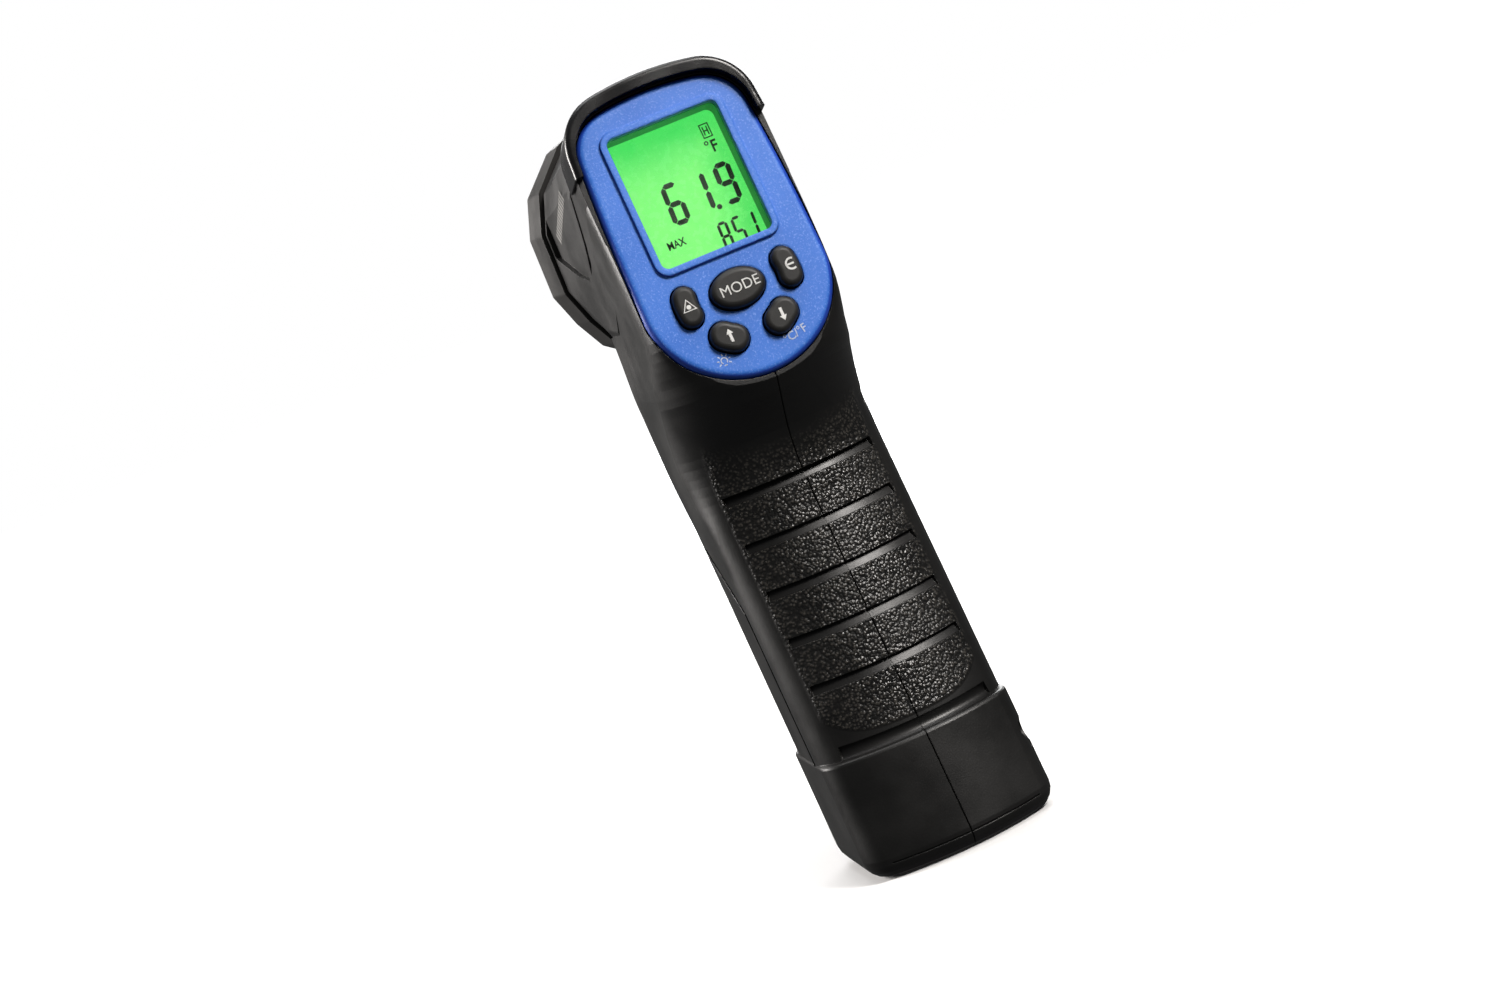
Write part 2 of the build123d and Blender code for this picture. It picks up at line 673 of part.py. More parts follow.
# Openings for the door, the trigger and its pin, and the door's hinge pin
shell -= door_region(DOOR_GAP)
swing_half = DOOR_FOOT_HALF_WIDTH + DOOR_GAP
shell -= rod_x(HINGE_Y, HINGE_Z, HINGE_SWING_RADIUS, -swing_half, swing_half)
foot_line = (outside - outer_body(FOOT_LINE_DEPTH)) & box_between(
    -swing_half, swing_half, -BIG, HINGE_Y, DOOR_THICKNESS + 1.2, DOOR_THICKNESS + 1.2 + DOOR_GAP
)
shell -= foot_line
slot_half = TRIGGER_HALF_WIDTH + TRIGGER_GAP
shell -= box_between(
    -slot_half, slot_half, TRIGGER_PIVOT_Y - 7, 60, TRIGGER_SLOT_LOW, BARREL_BOTTOM - 0.05
)
shell -= rod_x(
    TRIGGER_PIVOT_Y, TRIGGER_PIVOT_Z, TRIGGER_PIN_RADIUS, -TRIGGER_PIN_HALF, TRIGGER_PIN_HALF
)
shell -= rod_x(HINGE_Y, HINGE_Z, HINGE_PIN_RADIUS, -HINGE_PIN_HALF, HINGE_PIN_HALF)
for y, z in SCREW_PLACES:
    shell -= rod_x(y, z, SCREW_RADIUS, SCREW_TIP, SCREW_SEAT)
    shell -= rod_x(y, z, SCREW_HEAD_RADIUS + 0.2, SCREW_SEAT, BIG)

nodes["left_housing"] = shell & box_between(-BIG, 0, -BIG, BIG, -BIG, BIG)
nodes["right_housing"] = shell & box_between(0, BIG, -BIG, BIG, -BIG, BIG)

# ---------------------------------------------------------------- nose
nose_front = BARREL_FRONT + NOSE_LENGTH
nose_stations = [BARREL_FRONT, nose_front - 6.0, nose_front - 2.6, nose_front - 0.8, nose_front]
nose_insets = [-NOSE_PROUD, -NOSE_PROUD, -NOSE_PROUD * 0.3, 1.2, 2.6]
plate_back = nose_front - 3.0
nose = barrel_body(nose_stations, nose_insets)
nose -= barrel_body([BARREL_FRONT - 1.0, plate_back], [NOSE_WALL - NOSE_PROUD] * 2)
nose -= cone_y(SIGHT_Z, plate_back - 1.0, APERTURE_RADIUS, nose_front + 1.0, APERTURE_RADIUS + 1.2)
nose -= rod_y(0, LASER_Z, LASER_WINDOW_RADIUS, plate_back - 1.0, nose_front + 1.0)
nodes["nose_ring"] = nose

# Optics: tube with its mounting plate and laser holder
plate_gap = NOSE_WALL - NOSE_PROUD + 0.3
tube = barrel_body([BARREL_FRONT + 0.1, BARREL_FRONT + 2.1], [plate_gap, plate_gap])
tube += rod_y(0, SIGHT_Z, TUBE_RADIUS, TUBE_BACK, BARREL_FRONT + 4.0)
tube += rod_y(0, SIGHT_Z, FUNNEL_RADIUS, BARREL_FRONT + 2.0, plate_back)
holder = box_between(-4.4, 4.4, BARREL_FRONT + 1, plate_back - 3, SIGHT_Z + 8, LASER_Z + 4.4)
tube += holder
tube -= rod_y(0, SIGHT_Z, TUBE_BORE, TUBE_BACK - 1, LENS_SEAT + 1)
tube -= rod_y(0, SIGHT_Z, LENS_RADIUS + 1.0, LENS_SEAT, RETAINER_FRONT)
tube -= cone_y(SIGHT_Z, RETAINER_FRONT, LENS_RADIUS + 1.0, plate_back, APERTURE_RADIUS - 0.2)
tube -= rod_y(0, LASER_Z, LASER_RADIUS, BARREL_FRONT - 10, plate_back)
nodes["lens_tube"] = tube

lens_edge = LENS_SEAT + LENS_THICKNESS_AT_EDGE
lens_disc = rod_y(0, SIGHT_Z, LENS_RADIUS + 0.95, LENS_SEAT, lens_edge)
dome = Pos(0, lens_edge + 1.2 - LENS_DOME_RADIUS, SIGHT_Z) * Sphere(LENS_DOME_RADIUS)
dome &= rod_y(0, SIGHT_Z, LENS_RADIUS - 1.2, LENS_SEAT + 1.0, LENS_SEAT + 4)
nodes["infrared_lens"] = lens_disc + dome
retainer = rod_y(0, SIGHT_Z, LENS_RADIUS + 0.95, lens_edge, RETAINER_FRONT)
retainer -= rod_y(0, SIGHT_Z, LENS_RADIUS - 1.0, LENS_SEAT, RETAINER_FRONT + 1)
nodes["lens_retaining_ring"] = retainer

nodes["laser_module"] = rod_y(0, LASER_Z, LASER_RADIUS, BARREL_FRONT - 6, plate_back - 4)
nodes["laser_window"] = rod_y(0, LASER_Z, LASER_WINDOW_RADIUS, plate_back, plate_back + 1.2)

can_front = TUBE_BACK + 1.0
can = rod_y(0, SIGHT_Z, SENSOR_RADIUS, can_front - 3.6, can_front)
can += rod_y(0, SIGHT_Z, TUBE_BORE, can_front - 4.2, can_front - 3.6)
can -= rod_y(0, SIGHT_Z, 1.4, can_front - 0.4, can_front + 1)
nodes["thermopile_sensor"] = can
sensor_board_front = can_front - 4.2
sensor_board = box_between(
    -11, 11, sensor_board_front - 1.6, sensor_board_front, SIGHT_Z - 11, SIGHT_Z + 11
)
pins = Part()
for turn in range(4):
    angle = math.radians(45 + 90 * turn)
    x, z = 2.5 * math.cos(angle), SIGHT_Z + 2.5 * math.sin(angle)
    pins += rod_y(x, z, 0.25, sensor_board_front - 2.6, sensor_board_front)
nodes["sensor_pins"] = pins
# Two feet of the tube hold the sensor board
for side in (-1, 1):
    tube += box_between(
        side * 8.6 - 1.2, side * 8.6 + 1.2, sensor_board_front, TUBE_BACK + 4,
        SIGHT_Z - 2, SIGHT_Z + 2,
    )
nodes["lens_tube"] = tube
nodes["sensor_board"] = sensor_board - pins

# ---------------------------------------------------------------- display head
plate = extrude(bezel_outline(), amount=BEZEL_THICKNESS)
plate = fillet(plate.faces().sort_by(Axis.Z)[-1].edges(), BEZEL_EDGE_RADIUS)
bezel = face * Pos(0, 0, -BEZEL_THICKNESS) * plate
surround = extrude(window_outline(FRAME_WIDTH), amount=FRAME_HEIGHT + 1.0, taper=12)
bezel += face * Pos(0, 0, -1.0) * surround
bezel -= on_face(window_outline(), -BIG, BIG)
pocket_margin = 0.8
bezel -= on_face(window_outline(pocket_margin), -BIG, -LENS_DEPTH)
for name in KEY_NAMES:
    bezel -= on_face(key_outline(name, KEY_GAP), -BIG, BIG)
for u, v in BOARD_POSTS:
    bezel += on_face(Pos(u, v) * Circle(POST_RADIUS), -BOARD_DEPTH, -BEZEL_THICKNESS)
    bezel -= on_face(Pos(u, v) * Circle(BOARD_SCREW_RADIUS), -BOARD_DEPTH, -BEZEL_THICKNESS - 2)
nodes["display_bezel"] = bezel

lens_back = LENS_DEPTH + LENS_THICKNESS
nodes["display_window"] = on_face(window_outline(pocket_margin - 0.05), -lens_back, -LENS_DEPTH)
shroud = on_face(window_outline(pocket_margin - 0.1), -GLASS_DEPTH, -lens_back)
shroud += on_face(window_outline(pocket_margin + 0.3), -GLASS_DEPTH, -BEZEL_THICKNESS)
shroud -= on_face(window_outline(0.05), -BIG, BIG)
nodes["display_shroud"] = shroud


def stack_plate(half_width, low, high, front, thickness):
    """A rectangular layer of the display stack, front being its depth behind the bezel's face."""
    sketch = Pos(0, (low + high) / 2) * Rectangle(2 * half_width, high - low)
    return on_face(sketch, -front - thickness, -front)


glass_half = WINDOW_HALF_WIDTH + 1.1
glass_low, glass_high = WINDOW_LOW - 2.4, WINDOW_HIGH + 2.6
nodes["lcd_glass"] = stack_plate(
    glass_half, glass_low, glass_high, GLASS_DEPTH, GLASS_THICKNESS
)
light_front = GLASS_DEPTH + GLASS_THICKNESS
light_low, light_high = glass_low + 2.0, glass_high - 2.0
nodes["backlight_panel"] = stack_plate(
    glass_half, light_low, light_high, light_front, BACKLIGHT_THICKNESS
)
strips = Part()
for low, high in ((glass_low + 0.3, light_low - 0.3), (light_high + 0.3, glass_high - 0.3)):
    strips += stack_plate(glass_half - 1, low, high, light_front, BOARD_DEPTH - light_front)
nodes["contact_strips"] = strips

board_outline = bezel_outline(-3.0) & Pos(0, 30) * Rectangle(2 * BOARD_HALF_WIDTH, 100)
board = on_face(board_outline, -BOARD_DEPTH - BOARD_THICKNESS, -BOARD_DEPTH)
board_screws = Part()
board_back = BOARD_DEPTH + BOARD_THICKNESS
for u, v in BOARD_POSTS:
    shank = on_face(Pos(u, v) * Circle(BOARD_SCREW_RADIUS), -board_back, -BEZEL_THICKNESS - 3)
    head = on_face(Pos(u, v) * Circle(1.6), -board_back - 1.0, -board_back)
    board_screws += shank + head
nodes["main_board"] = board - board_screws
nodes["board_screws"] = board_screws
nodes["main_chip"] = on_face(Pos(0, 40) * Rectangle(10, 10), -board_back - 1.4, -board_back)
nodes["buzzer"] = on_face(Pos(7.5, 24) * Circle(4.6), -board_back - 3.6, -board_back)
parts_row = Part()
for step in range(4):
    chip = Pos(-9.5 + 3.2 * step, 27) * Rectangle(1.8, 3.0)
    parts_row += on_face(chip, -board_back - 1.0, -board_back)
nodes["board_capacitors"] = parts_row

# Hood over the bezel's top
hood_outline = Pos(0, HOOD_RAISE) * bezel_outline(HOOD_MARGIN)
hood_outline &= Pos(0, HOOD_FOOT + 50) * Rectangle(BIG, 100)
hood = extrude(hood_outline, amount=HOOD_OUT + HOOD_IN)
rounded = hood.faces().sort_by(Axis.Z)[-1].edges().filter_by(GeomType.LINE, reverse=True)
hood = fillet(rounded, HOOD_EDGE_RADIUS)
hood = face * Pos(0, 0, -HOOD_IN) * hood
hood -= on_face(bezel_outline(HOOD_GAP), -RIM_BELOW_FACE - 1, BIG)
nodes["display_hood"] = hood - outside

# Keys, their carbon pills and the pad that guides their stems
stem_end = BOARD_DEPTH - KEY_TRAVEL - 0.05 - PILL_THICKNESS
pad_front = BOARD_DEPTH - 2.4
pad_outline = bezel_outline(-3.6) & Pos(0, 13.7) * Rectangle(28.6, 19.6)
pad = on_face(pad_outline, -BOARD_DEPTH, -pad_front)
for u, v in BOARD_POSTS:
    pad -= on_face(Pos(u, v) * Circle(POST_RADIUS + 0.3), -BIG, BIG)
for name in KEY_NAMES:
    u, v = key_centre(name)
    cap = extrude(key_outline(name), amount=KEY_RISE + 4.0)
    cap = fillet(cap.faces().sort_by(Axis.Z)[-1].edges(), KEY_TOP_RADIUS)
    key = face * Pos(0, 0, -4.0) * cap
    key += on_face(key_outline(name, 0.7), -4.4, -BEZEL_THICKNESS - 0.2)
    key += on_face(Pos(u, v) * Circle(STEM_RADIUS), -stem_end, -4.4)
    nodes[name] = key
    pill = on_face(Pos(u, v) * Circle(STEM_RADIUS - 0.1), -stem_end - PILL_THICKNESS, -stem_end)
    nodes[name.replace("key", "contact_pill")] = pill
    pad -= on_face(Pos(u, v) * Circle(STEM_RADIUS + 0.4), -BIG, BIG)
nodes["keypad_mat"] = pad

# ---------------------------------------------------------------- trigger
# Side outline of the trigger's blade, from its pivot: forward and up
BLADE = [(-3.8, 3.5), (8.6, 2.9), (7.2, -1.9), (5.9, -6.9), (5.6, -11.9), (6.2, -16.9)]
BLADE += [(7.9, -21.9), (6.6, -24.3), (3.6, -23.9), (0.0, -16.5), (-2.4, -7.5), (-3.8, -2.5)]
blade_outline = [(TRIGGER_PIVOT_Y + y, TRIGGER_PIVOT_Z + z) for y, z in BLADE]
blade = side_prism(blade_outline, -TRIGGER_HALF_WIDTH, TRIGGER_HALF_WIDTH)
blade = fillet(
    blade.faces().sort_by(Axis.X)[-1].edges() + blade.faces().sort_by(Axis.X)[0].edges(), 0.9
)
nub_z = TRIGGER_PIVOT_Z - SWITCH_ARM
nub_back = TRIGGER_PIVOT_Y - 4.0
blade += rod_y(0, nub_z, 1.8, nub_back, TRIGGER_PIVOT_Y + 1.0)
blade -= rod_x(TRIGGER_PIVOT_Y, TRIGGER_PIVOT_Z, TRIGGER_PIN_RADIUS + RUNNING_FIT, -20, 20)
spring_slot = SPRING_HALF + 0.4
blade -= rod_x(TRIGGER_PIVOT_Y, TRIGGER_PIVOT_Z, SPRING_ROOM, -spring_slot, spring_slot)
blade -= box_between(
    -spring_slot, spring_slot, TRIGGER_PIVOT_Y - 9, TRIGGER_PIVOT_Y - 1,
    TRIGGER_PIVOT_Z - 4, TRIGGER_PIVOT_Z + 6.5,
)
nodes["trigger"] = blade
nodes["trigger_pin"] = rod_x(
    TRIGGER_PIVOT_Y, TRIGGER_PIVOT_Z, TRIGGER_PIN_RADIUS, -TRIGGER_PIN_HALF, TRIGGER_PIN_HALF
)
coil_path = Helix(SPRING_PITCH, 2 * SPRING_HALF - 0.8, SPRING_RADIUS)
wire = Plane(origin=coil_path @ 0, z_dir=coil_path % 0) * Circle(SPRING_WIRE)
coil = sweep(wire, path=coil_path)
coil_place = Pos(0.4 - SPRING_HALF, TRIGGER_PIVOT_Y, TRIGGER_PIVOT_Z)
nodes["trigger_spring"] = coil_place * Rot(0, 90, 0) * coil

switch_back, switch_front = TRIGGER_PIVOT_Y - 17.6, TRIGGER_PIVOT_Y - 11.0
switch = box_between(-3.2, 3.2, switch_back, switch_front, nub_z - 3.2, nub_z + 3.2)
plunger_room = switch_back + 2.4
switch -= rod_y(0, nub_z, PLUNGER_RADIUS + RUNNING_FIT, plunger_room, switch_front + 1)
nodes["trigger_switch"] = switch
nodes["switch_plunger"] = rod_y(0, nub_z, PLUNGER_RADIUS, plunger_room + 1.8, nub_back - 0.3)
trigger_board = box_between(-BIG, BIG, switch_back - 1.6, switch_back, nub_z - 7, nub_z + 6)
nodes["trigger_board"] = trigger_board & inside

# ---------------------------------------------------------------- handle
battery_front = BATTERY_BACK + BATTERY_DEPTH
middle_y = (BATTERY_BACK + battery_front) / 2
cell = Box(BATTERY_WIDTH, BATTERY_DEPTH, BATTERY_BODY)
cell = fillet(cell.edges().filter_by(Axis.Z), 2.4)
battery = Pos(0, middle_y, BATTERY_FOOT + BATTERY_BODY / 2) * cell
top = BATTERY_FOOT + BATTERY_BODY
clip = Pos(0, middle_y, top + 1.9 + 1.5) * Box(25.5, 12.6, 3.0)
for side, radius in ((-1, 2.9), (1, 4.1)):
    battery += Pos(side * 6.35, middle_y, top + 1.3) * Cylinder(radius, 2.6)
    clip -= Pos(side * 6.35, middle_y, top + 1.3) * Cylinder(radius, 2.6)
nodes["battery"] = grip * battery
nodes["battery_clip"] = grip * clip

pad_box = Pos(0, battery_front + 5, BATTERY_FOOT + 24) * Box(17, 10, 30)
nodes["battery_pad"] = (grip * pad_box) & handle_body(WALL)

door = (outside - inside) & door_region(0)
barrel_knuckle = rod_x(
    HINGE_Y, HINGE_Z, HINGE_KNUCKLE_RADIUS, -DOOR_FOOT_HALF_WIDTH, DOOR_FOOT_HALF_WIDTH
)
door += barrel_knuckle & outside
door -= rod_x(HINGE_Y, HINGE_Z, HINGE_PIN_RADIUS + RUNNING_FIT, -30, 30)
nodes["battery_door"] = door
nodes["door_hinge_pin"] = rod_x(
    HINGE_Y, HINGE_Z, HINGE_PIN_RADIUS, -HINGE_PIN_HALF, HINGE_PIN_HALF
)

# ---------------------------------------------------------------- wires and screws


def wire_run(points, radius, bend):
    """A round wire along straight runs with tangent arcs."""
    path = FilletPolyline(*points, radius=bend)
    return sweep(Plane(origin=path @ 0, z_dir=path % 0) * Circle(radius), path=path)


clip_top = grip * Pos(0, middle_y, top + 4.9)
start = clip_top.position
board_point = (face * Pos(0, 5.5, -board_back)).position
for name, x in (("red_lead", 3.0), ("black_lead", -3.0)):
    nodes[name] = wire_run(
        [
            (x, start.Y, start.Z),
            (x, start.Y + 1.2, start.Z + 12),
            (x, 14.0, FACE_LIP_Z - 10.0),
            (x, board_point.Y + 7.0, board_point.Z - 2.0),
            (x, board_point.Y, board_point.Z),
        ],
        LEAD_RADIUS,
        5.0,
    )

housing_screws = Part()
for y, z in SCREW_PLACES:
    screw = rod_x(y, z, SCREW_RADIUS, SCREW_TIP, SCREW_SEAT)
    screw += rod_x(y, z, SCREW_HEAD_RADIUS, SCREW_SEAT, SCREW_SEAT + 1.8)
    screw -= box_between(SCREW_SEAT + 1.0, BIG, y - 1.6, y + 1.6, z - 0.3, z + 0.3)
    screw -= box_between(SCREW_SEAT + 1.0, BIG, y - 0.3, y + 0.3, z - 1.6, z + 1.6)
    housing_screws += screw
nodes["housing_screws"] = housing_screws

# ---------------------------------------------------------------- files
os.makedirs("parts", exist_ok=True)
for name, shape in nodes.items():
    export_step(shape, f"parts/{name}.step")
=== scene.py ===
"""Looks of the pistol-grip infrared thermometer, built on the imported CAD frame. Metres throughout."""

import json
import math

import bmesh
import bpy
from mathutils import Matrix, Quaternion, Vector


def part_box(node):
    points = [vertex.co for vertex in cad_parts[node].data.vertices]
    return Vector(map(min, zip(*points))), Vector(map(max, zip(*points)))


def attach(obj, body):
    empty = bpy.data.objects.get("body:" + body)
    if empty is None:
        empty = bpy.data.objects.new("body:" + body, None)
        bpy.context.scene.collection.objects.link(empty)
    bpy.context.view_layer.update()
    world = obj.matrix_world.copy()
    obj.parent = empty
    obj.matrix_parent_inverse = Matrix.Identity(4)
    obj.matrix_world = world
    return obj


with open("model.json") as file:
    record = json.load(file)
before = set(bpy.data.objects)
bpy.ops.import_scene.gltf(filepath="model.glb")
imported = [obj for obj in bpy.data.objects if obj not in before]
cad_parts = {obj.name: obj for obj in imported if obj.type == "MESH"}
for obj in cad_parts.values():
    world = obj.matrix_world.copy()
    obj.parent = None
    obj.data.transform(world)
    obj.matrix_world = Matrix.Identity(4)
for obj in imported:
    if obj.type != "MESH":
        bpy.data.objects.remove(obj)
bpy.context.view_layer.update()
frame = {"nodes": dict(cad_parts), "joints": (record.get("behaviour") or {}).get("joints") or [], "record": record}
nodes = frame["nodes"]
MM = 0.001

# ---------------------------------------------------------------- camera
CAMERA_PLACE = Vector((-0.1283, -0.5470, 0.1440))
AZIMUTH = math.radians(12.0)  # the camera looks forward and a little to the right
ELEVATION = math.radians(6.5)  # and down by this much
ROLL = math.radians(22.1)  # the instrument leans to the left in the picture
LENS = 66.0

heading = Vector(
    (
        math.sin(AZIMUTH) * math.cos(ELEVATION),
        math.cos(AZIMUTH) * math.cos(ELEVATION),
        -math.sin(ELEVATION),
    )
)
camera = bpy.data.objects.new("camera", bpy.data.cameras.new("camera"))
bpy.context.scene.collection.objects.link(camera)
camera.data.lens = LENS
camera.data.sensor_width = 36.0
camera.data.clip_start = 0.01
camera.location = CAMERA_PLACE
camera.rotation_mode = "QUATERNION"
camera.rotation_quaternion = Quaternion(heading, ROLL) @ heading.to_track_quat("-Z", "Y")
bpy.context.scene.camera = camera

# ---------------------------------------------------------------- light
bpy.context.scene.view_settings.view_transform = "Standard"


def add_light(name, place, target, size, power, colour):
    """A soft square lamp at place that shines towards target."""
    lamp = bpy.data.lights.new(name, "AREA")
    lamp.shape = "SQUARE"
    lamp.size = size
    lamp.energy = power
    lamp.color = colour
    lamp_object = bpy.data.objects.new(name, lamp)
    lamp_object.location = place
    lamp_object.rotation_mode = "QUATERNION"
    lamp_object.rotation_quaternion = (target - Vector(place)).to_track_quat("-Z", "Y")
    bpy.context.scene.collection.objects.link(lamp_object)


MIDDLE = Vector((0.0, 0.01, 0.09))
add_light("key_light", (0.50, -0.62, 0.82), MIDDLE, 0.34, 13.0, (1.0, 0.96, 0.92))
add_light("side_light", (-0.75, 0.55, 0.42), MIDDLE, 0.45, 14.0, (1.0, 0.96, 0.93))
add_light("top_light", (0.1, 0.1, 1.1), MIDDLE, 0.6, 6.0, (1.0, 1.0, 1.0))
add_light("front_light", (0.4, 1.0, 0.5), MIDDLE, 0.7, 10.0, (1.0, 1.0, 1.0))

AMBIENT = 0.10
world = bpy.data.worlds.new("studio")
bpy.context.scene.world = world
world.use_nodes = True
sky = world.node_tree
surroundings = sky.nodes["Background"]
surroundings.inputs["Color"].default_value = (1.0, 1.0, 1.0, 1.0)
surroundings.inputs["Strength"].default_value = AMBIENT
backdrop = sky.nodes.new("ShaderNodeBackground")
backdrop.inputs["Color"].default_value = (1.0, 1.0, 1.0, 1.0)
rays = sky.nodes.new("ShaderNodeLightPath")
choice = sky.nodes.new("ShaderNodeMixShader")
sky.links.new(rays.outputs["Is Camera Ray"], choice.inputs["Fac"])
sky.links.new(surroundings.outputs["Background"], choice.inputs[1])
sky.links.new(backdrop.outputs["Background"], choice.inputs[2])
sky.links.new(choice.outputs["Shader"], sky.nodes["World Output"].inputs["Surface"])


# ---------------------------------------------------------------- material helpers
# Places of the colour sockets in a Mix node, whose names its other kinds of socket share
COLOUR_A, COLOUR_B, COLOUR_RESULT = 6, 7, 2


class Finish:
    """A procedural material: a Principled shader and the nodes that drive it."""

    def __init__(self, name):
        self.material = bpy.data.materials.new(name)
        self.material.use_nodes = True
        self.tree = self.material.node_tree
        self.shader = self.tree.nodes["Principled BSDF"]
        self.place = self.node("ShaderNodeTexCoord").outputs["Object"]

    def node(self, kind):
        return self.tree.nodes.new(kind)

    def feed(self, socket, value):
        """Links value to socket when it is another node's output, or sets it as a constant."""
        if isinstance(value, bpy.types.NodeSocket):
            self.tree.links.new(value, socket)
        else:
            socket.default_value = value

    def math(self, operation, *values):
        step = self.node("ShaderNodeMath")
        step.operation = operation
        for socket, value in zip(step.inputs, values):
            self.feed(socket, value)
        return step.outputs["Value"]

    def axis(self, name):
        """One coordinate of the point being shaded."""
        return self.parts(self.place).outputs[name]

    def parts(self, vector):
        split = self.node("ShaderNodeSeparateXYZ")
        self.feed(split.inputs["Vector"], vector)
        return split

    def facing(self, direction):
        """How squarely the surface faces a fixed direction of the instrument."""
        dot = self.node("ShaderNodeVectorMath")
        dot.operation = "DOT_PRODUCT"
        self.feed(dot.inputs[0], self.node("ShaderNodeNewGeometry").outputs["Normal"])
        dot.inputs[1].default_value = direction
        return dot.outputs["Value"]

    def noise(self, size, detail=2.0, roughness=0.5, distortion=0.0):
        """Fractal noise whose blotches are about size across."""
        texture = self.node("ShaderNodeTexNoise")
        self.feed(texture.inputs["Vector"], self.place)
        texture.inputs["Scale"].default_value = 1.0 / size
        texture.inputs["Detail"].default_value = detail
        texture.inputs["Roughness"].default_value = roughness
        texture.inputs["Distortion"].default_value = distortion
        return texture.outputs["Fac"]

    def pebbles(self, size, smoothness):
        """Rounded cells about size across, high in their middles."""
        texture = self.node("ShaderNodeTexVoronoi")
        texture.feature = "SMOOTH_F1"
        self.feed(texture.inputs["Vector"], self.place)
        texture.inputs["Scale"].default_value = 1.0 / size
        texture.inputs["Smoothness"].default_value = smoothness
        return self.math("SUBTRACT", 1.0, texture.outputs["Distance"])

    def ramp(self, value, low, high, start=0.0, end=1.0):
        """Smooth change from start to end while value goes from low to high."""
        step = self.node("ShaderNodeMapRange")
        step.interpolation_type = "SMOOTHSTEP"
        self.feed(step.inputs["Value"], value)
        step.inputs["From Min"].default_value = low
        step.inputs["From Max"].default_value = high
        step.inputs["To Min"].default_value = start
        step.inputs["To Max"].default_value = end
        return step.outputs["Result"]

    def mix(self, share, first, second):
        """Blend of two colours."""
        blend = self.node("ShaderNodeMix")
        blend.data_type = "RGBA"
        self.feed(blend.inputs["Factor"], share)
        self.feed(blend.inputs[COLOUR_A], first)
        self.feed(blend.inputs[COLOUR_B], second)
        return blend.outputs[COLOUR_RESULT]

    def rounded(self, radius):
        """The normal with edges rounded over radius, and how close the point is to an edge."""
        bevel = self.node("ShaderNodeBevel")
        bevel.samples = 4
        bevel.inputs["Radius"].default_value = radius
        dot = self.node("ShaderNodeVectorMath")
        dot.operation = "DOT_PRODUCT"
        self.feed(dot.inputs[0], bevel.outputs["Normal"])
        self.feed(dot.inputs[1], self.node("ShaderNodeNewGeometry").outputs["Normal"])
        edge = self.ramp(dot.outputs["Value"], 0.97, 0.80)
        return bevel.outputs["Normal"], edge

    def bump(self, height, depth, normal=None):
        """A relief of the given depth on top of normal."""
        relief = self.node("ShaderNodeBump")
        relief.inputs["Strength"].default_value = 1.0
        relief.inputs["Distance"].default_value = depth
        self.feed(relief.inputs["Height"], height)
        if normal is not None:
            self.feed(relief.inputs["Normal"], normal)
        return relief.outputs["Normal"]

    def linked(self, name):
        """What feeds one of the shader's sockets so far."""
        return self.shader.inputs[name].links[0].from_socket

    def set(self, **values):
        """Sets the shader's sockets; an underscore in a name stands for a space."""
        for name, value in values.items():
            self.feed(self.shader.inputs[name.replace("_", " ")], value)
        return self


def colour(red, green, blue):
    return (red, green, blue, 1.0)


def moulded(name, dark, light, roughness, grain, depth, edge_radius=0.25 * MM):
    """Moulded plastic or rubber: fine grain, cloudy sheen and slightly rubbed edges."""
    finish = Finish(name)
    normal, edge = finish.rounded(edge_radius)
    speckle = finish.noise(grain, 3.0, 0.6)
    clouds = finish.noise(14 * MM, 3.0, 0.55)
    tone = finish.ramp(clouds, 0.3, 0.7, 0.0, 0.6)
    tone = finish.math("ADD", tone, finish.ramp(speckle, 0.45, 0.75, 0.0, 0.4))
    worn = finish.math("MULTIPLY", edge, finish.ramp(finish.noise(3 * MM), 0.35, 0.65, 0.25, 1.0))
    base = finish.mix(tone, dark, light)
    rubbed = colour(*(min(1.0, 2.2 * part + 0.01) for part in light[:3]))
    base = finish.mix(finish.math("MULTIPLY", worn, 0.5), base, rubbed)
    rough = finish.ramp(clouds, 0.3, 0.7, roughness - 0.06, roughness + 0.06)
    rough = finish.math("SUBTRACT", rough, finish.math("MULTIPLY", worn, 0.08))
    finish.set(Base_Color=base, Roughness=rough, Normal=finish.bump(speckle, depth, normal))
    return finish


def metal(name, dark, light, roughness, grain):
    """Plated or turned metal with fine streaks."""
    finish = Finish(name)
    normal, edge = finish.rounded(0.15 * MM)
    streaks = finish.noise(grain, 4.0, 0.7, 0.4)
    base = finish.mix(finish.ramp(streaks, 0.35, 0.7), dark, light)
    base = finish.mix(finish.math("MULTIPLY", edge, 0.4), base, colour(0.9, 0.9, 0.88))
    rough = finish.ramp(streaks, 0.3, 0.7, roughness - 0.08, roughness + 0.1)
    finish.set(
        Base_Color=base, Roughness=rough, Metallic=1.0,
        Normal=finish.bump(streaks, 0.01 * MM, normal),
    )
    return finish


# ---------------------------------------------------------------- places read from the frame
# OUT points out of the display face and UP along it; the keys are pressed against OUT
press_axis = next(joint["axis"] for joint in frame["joints"] if joint["name"] == "mode_key_press")
OUT = -Vector(press_axis).normalized()
UP = OUT.cross(Vector((1, 0, 0))).normalized()


def reach(node, direction):
    """How far a node goes in a direction."""
    return max(vertex.co.dot(direction) for vertex in nodes[node].data.vertices)


WINDOW_DEPTH = 1.0 * MM  # the clear window lies this far behind the bezel's face
chin_level = -reach("display_bezel", -UP)
face_level = reach("display_window", OUT) + WINDOW_DEPTH


def face_point(u, v, level):
    """A point u right of the middle and v above the bezel's lower tip, at a level along OUT."""
    return Vector((u, 0, 0)) + UP * (chin_level + v) + OUT * level


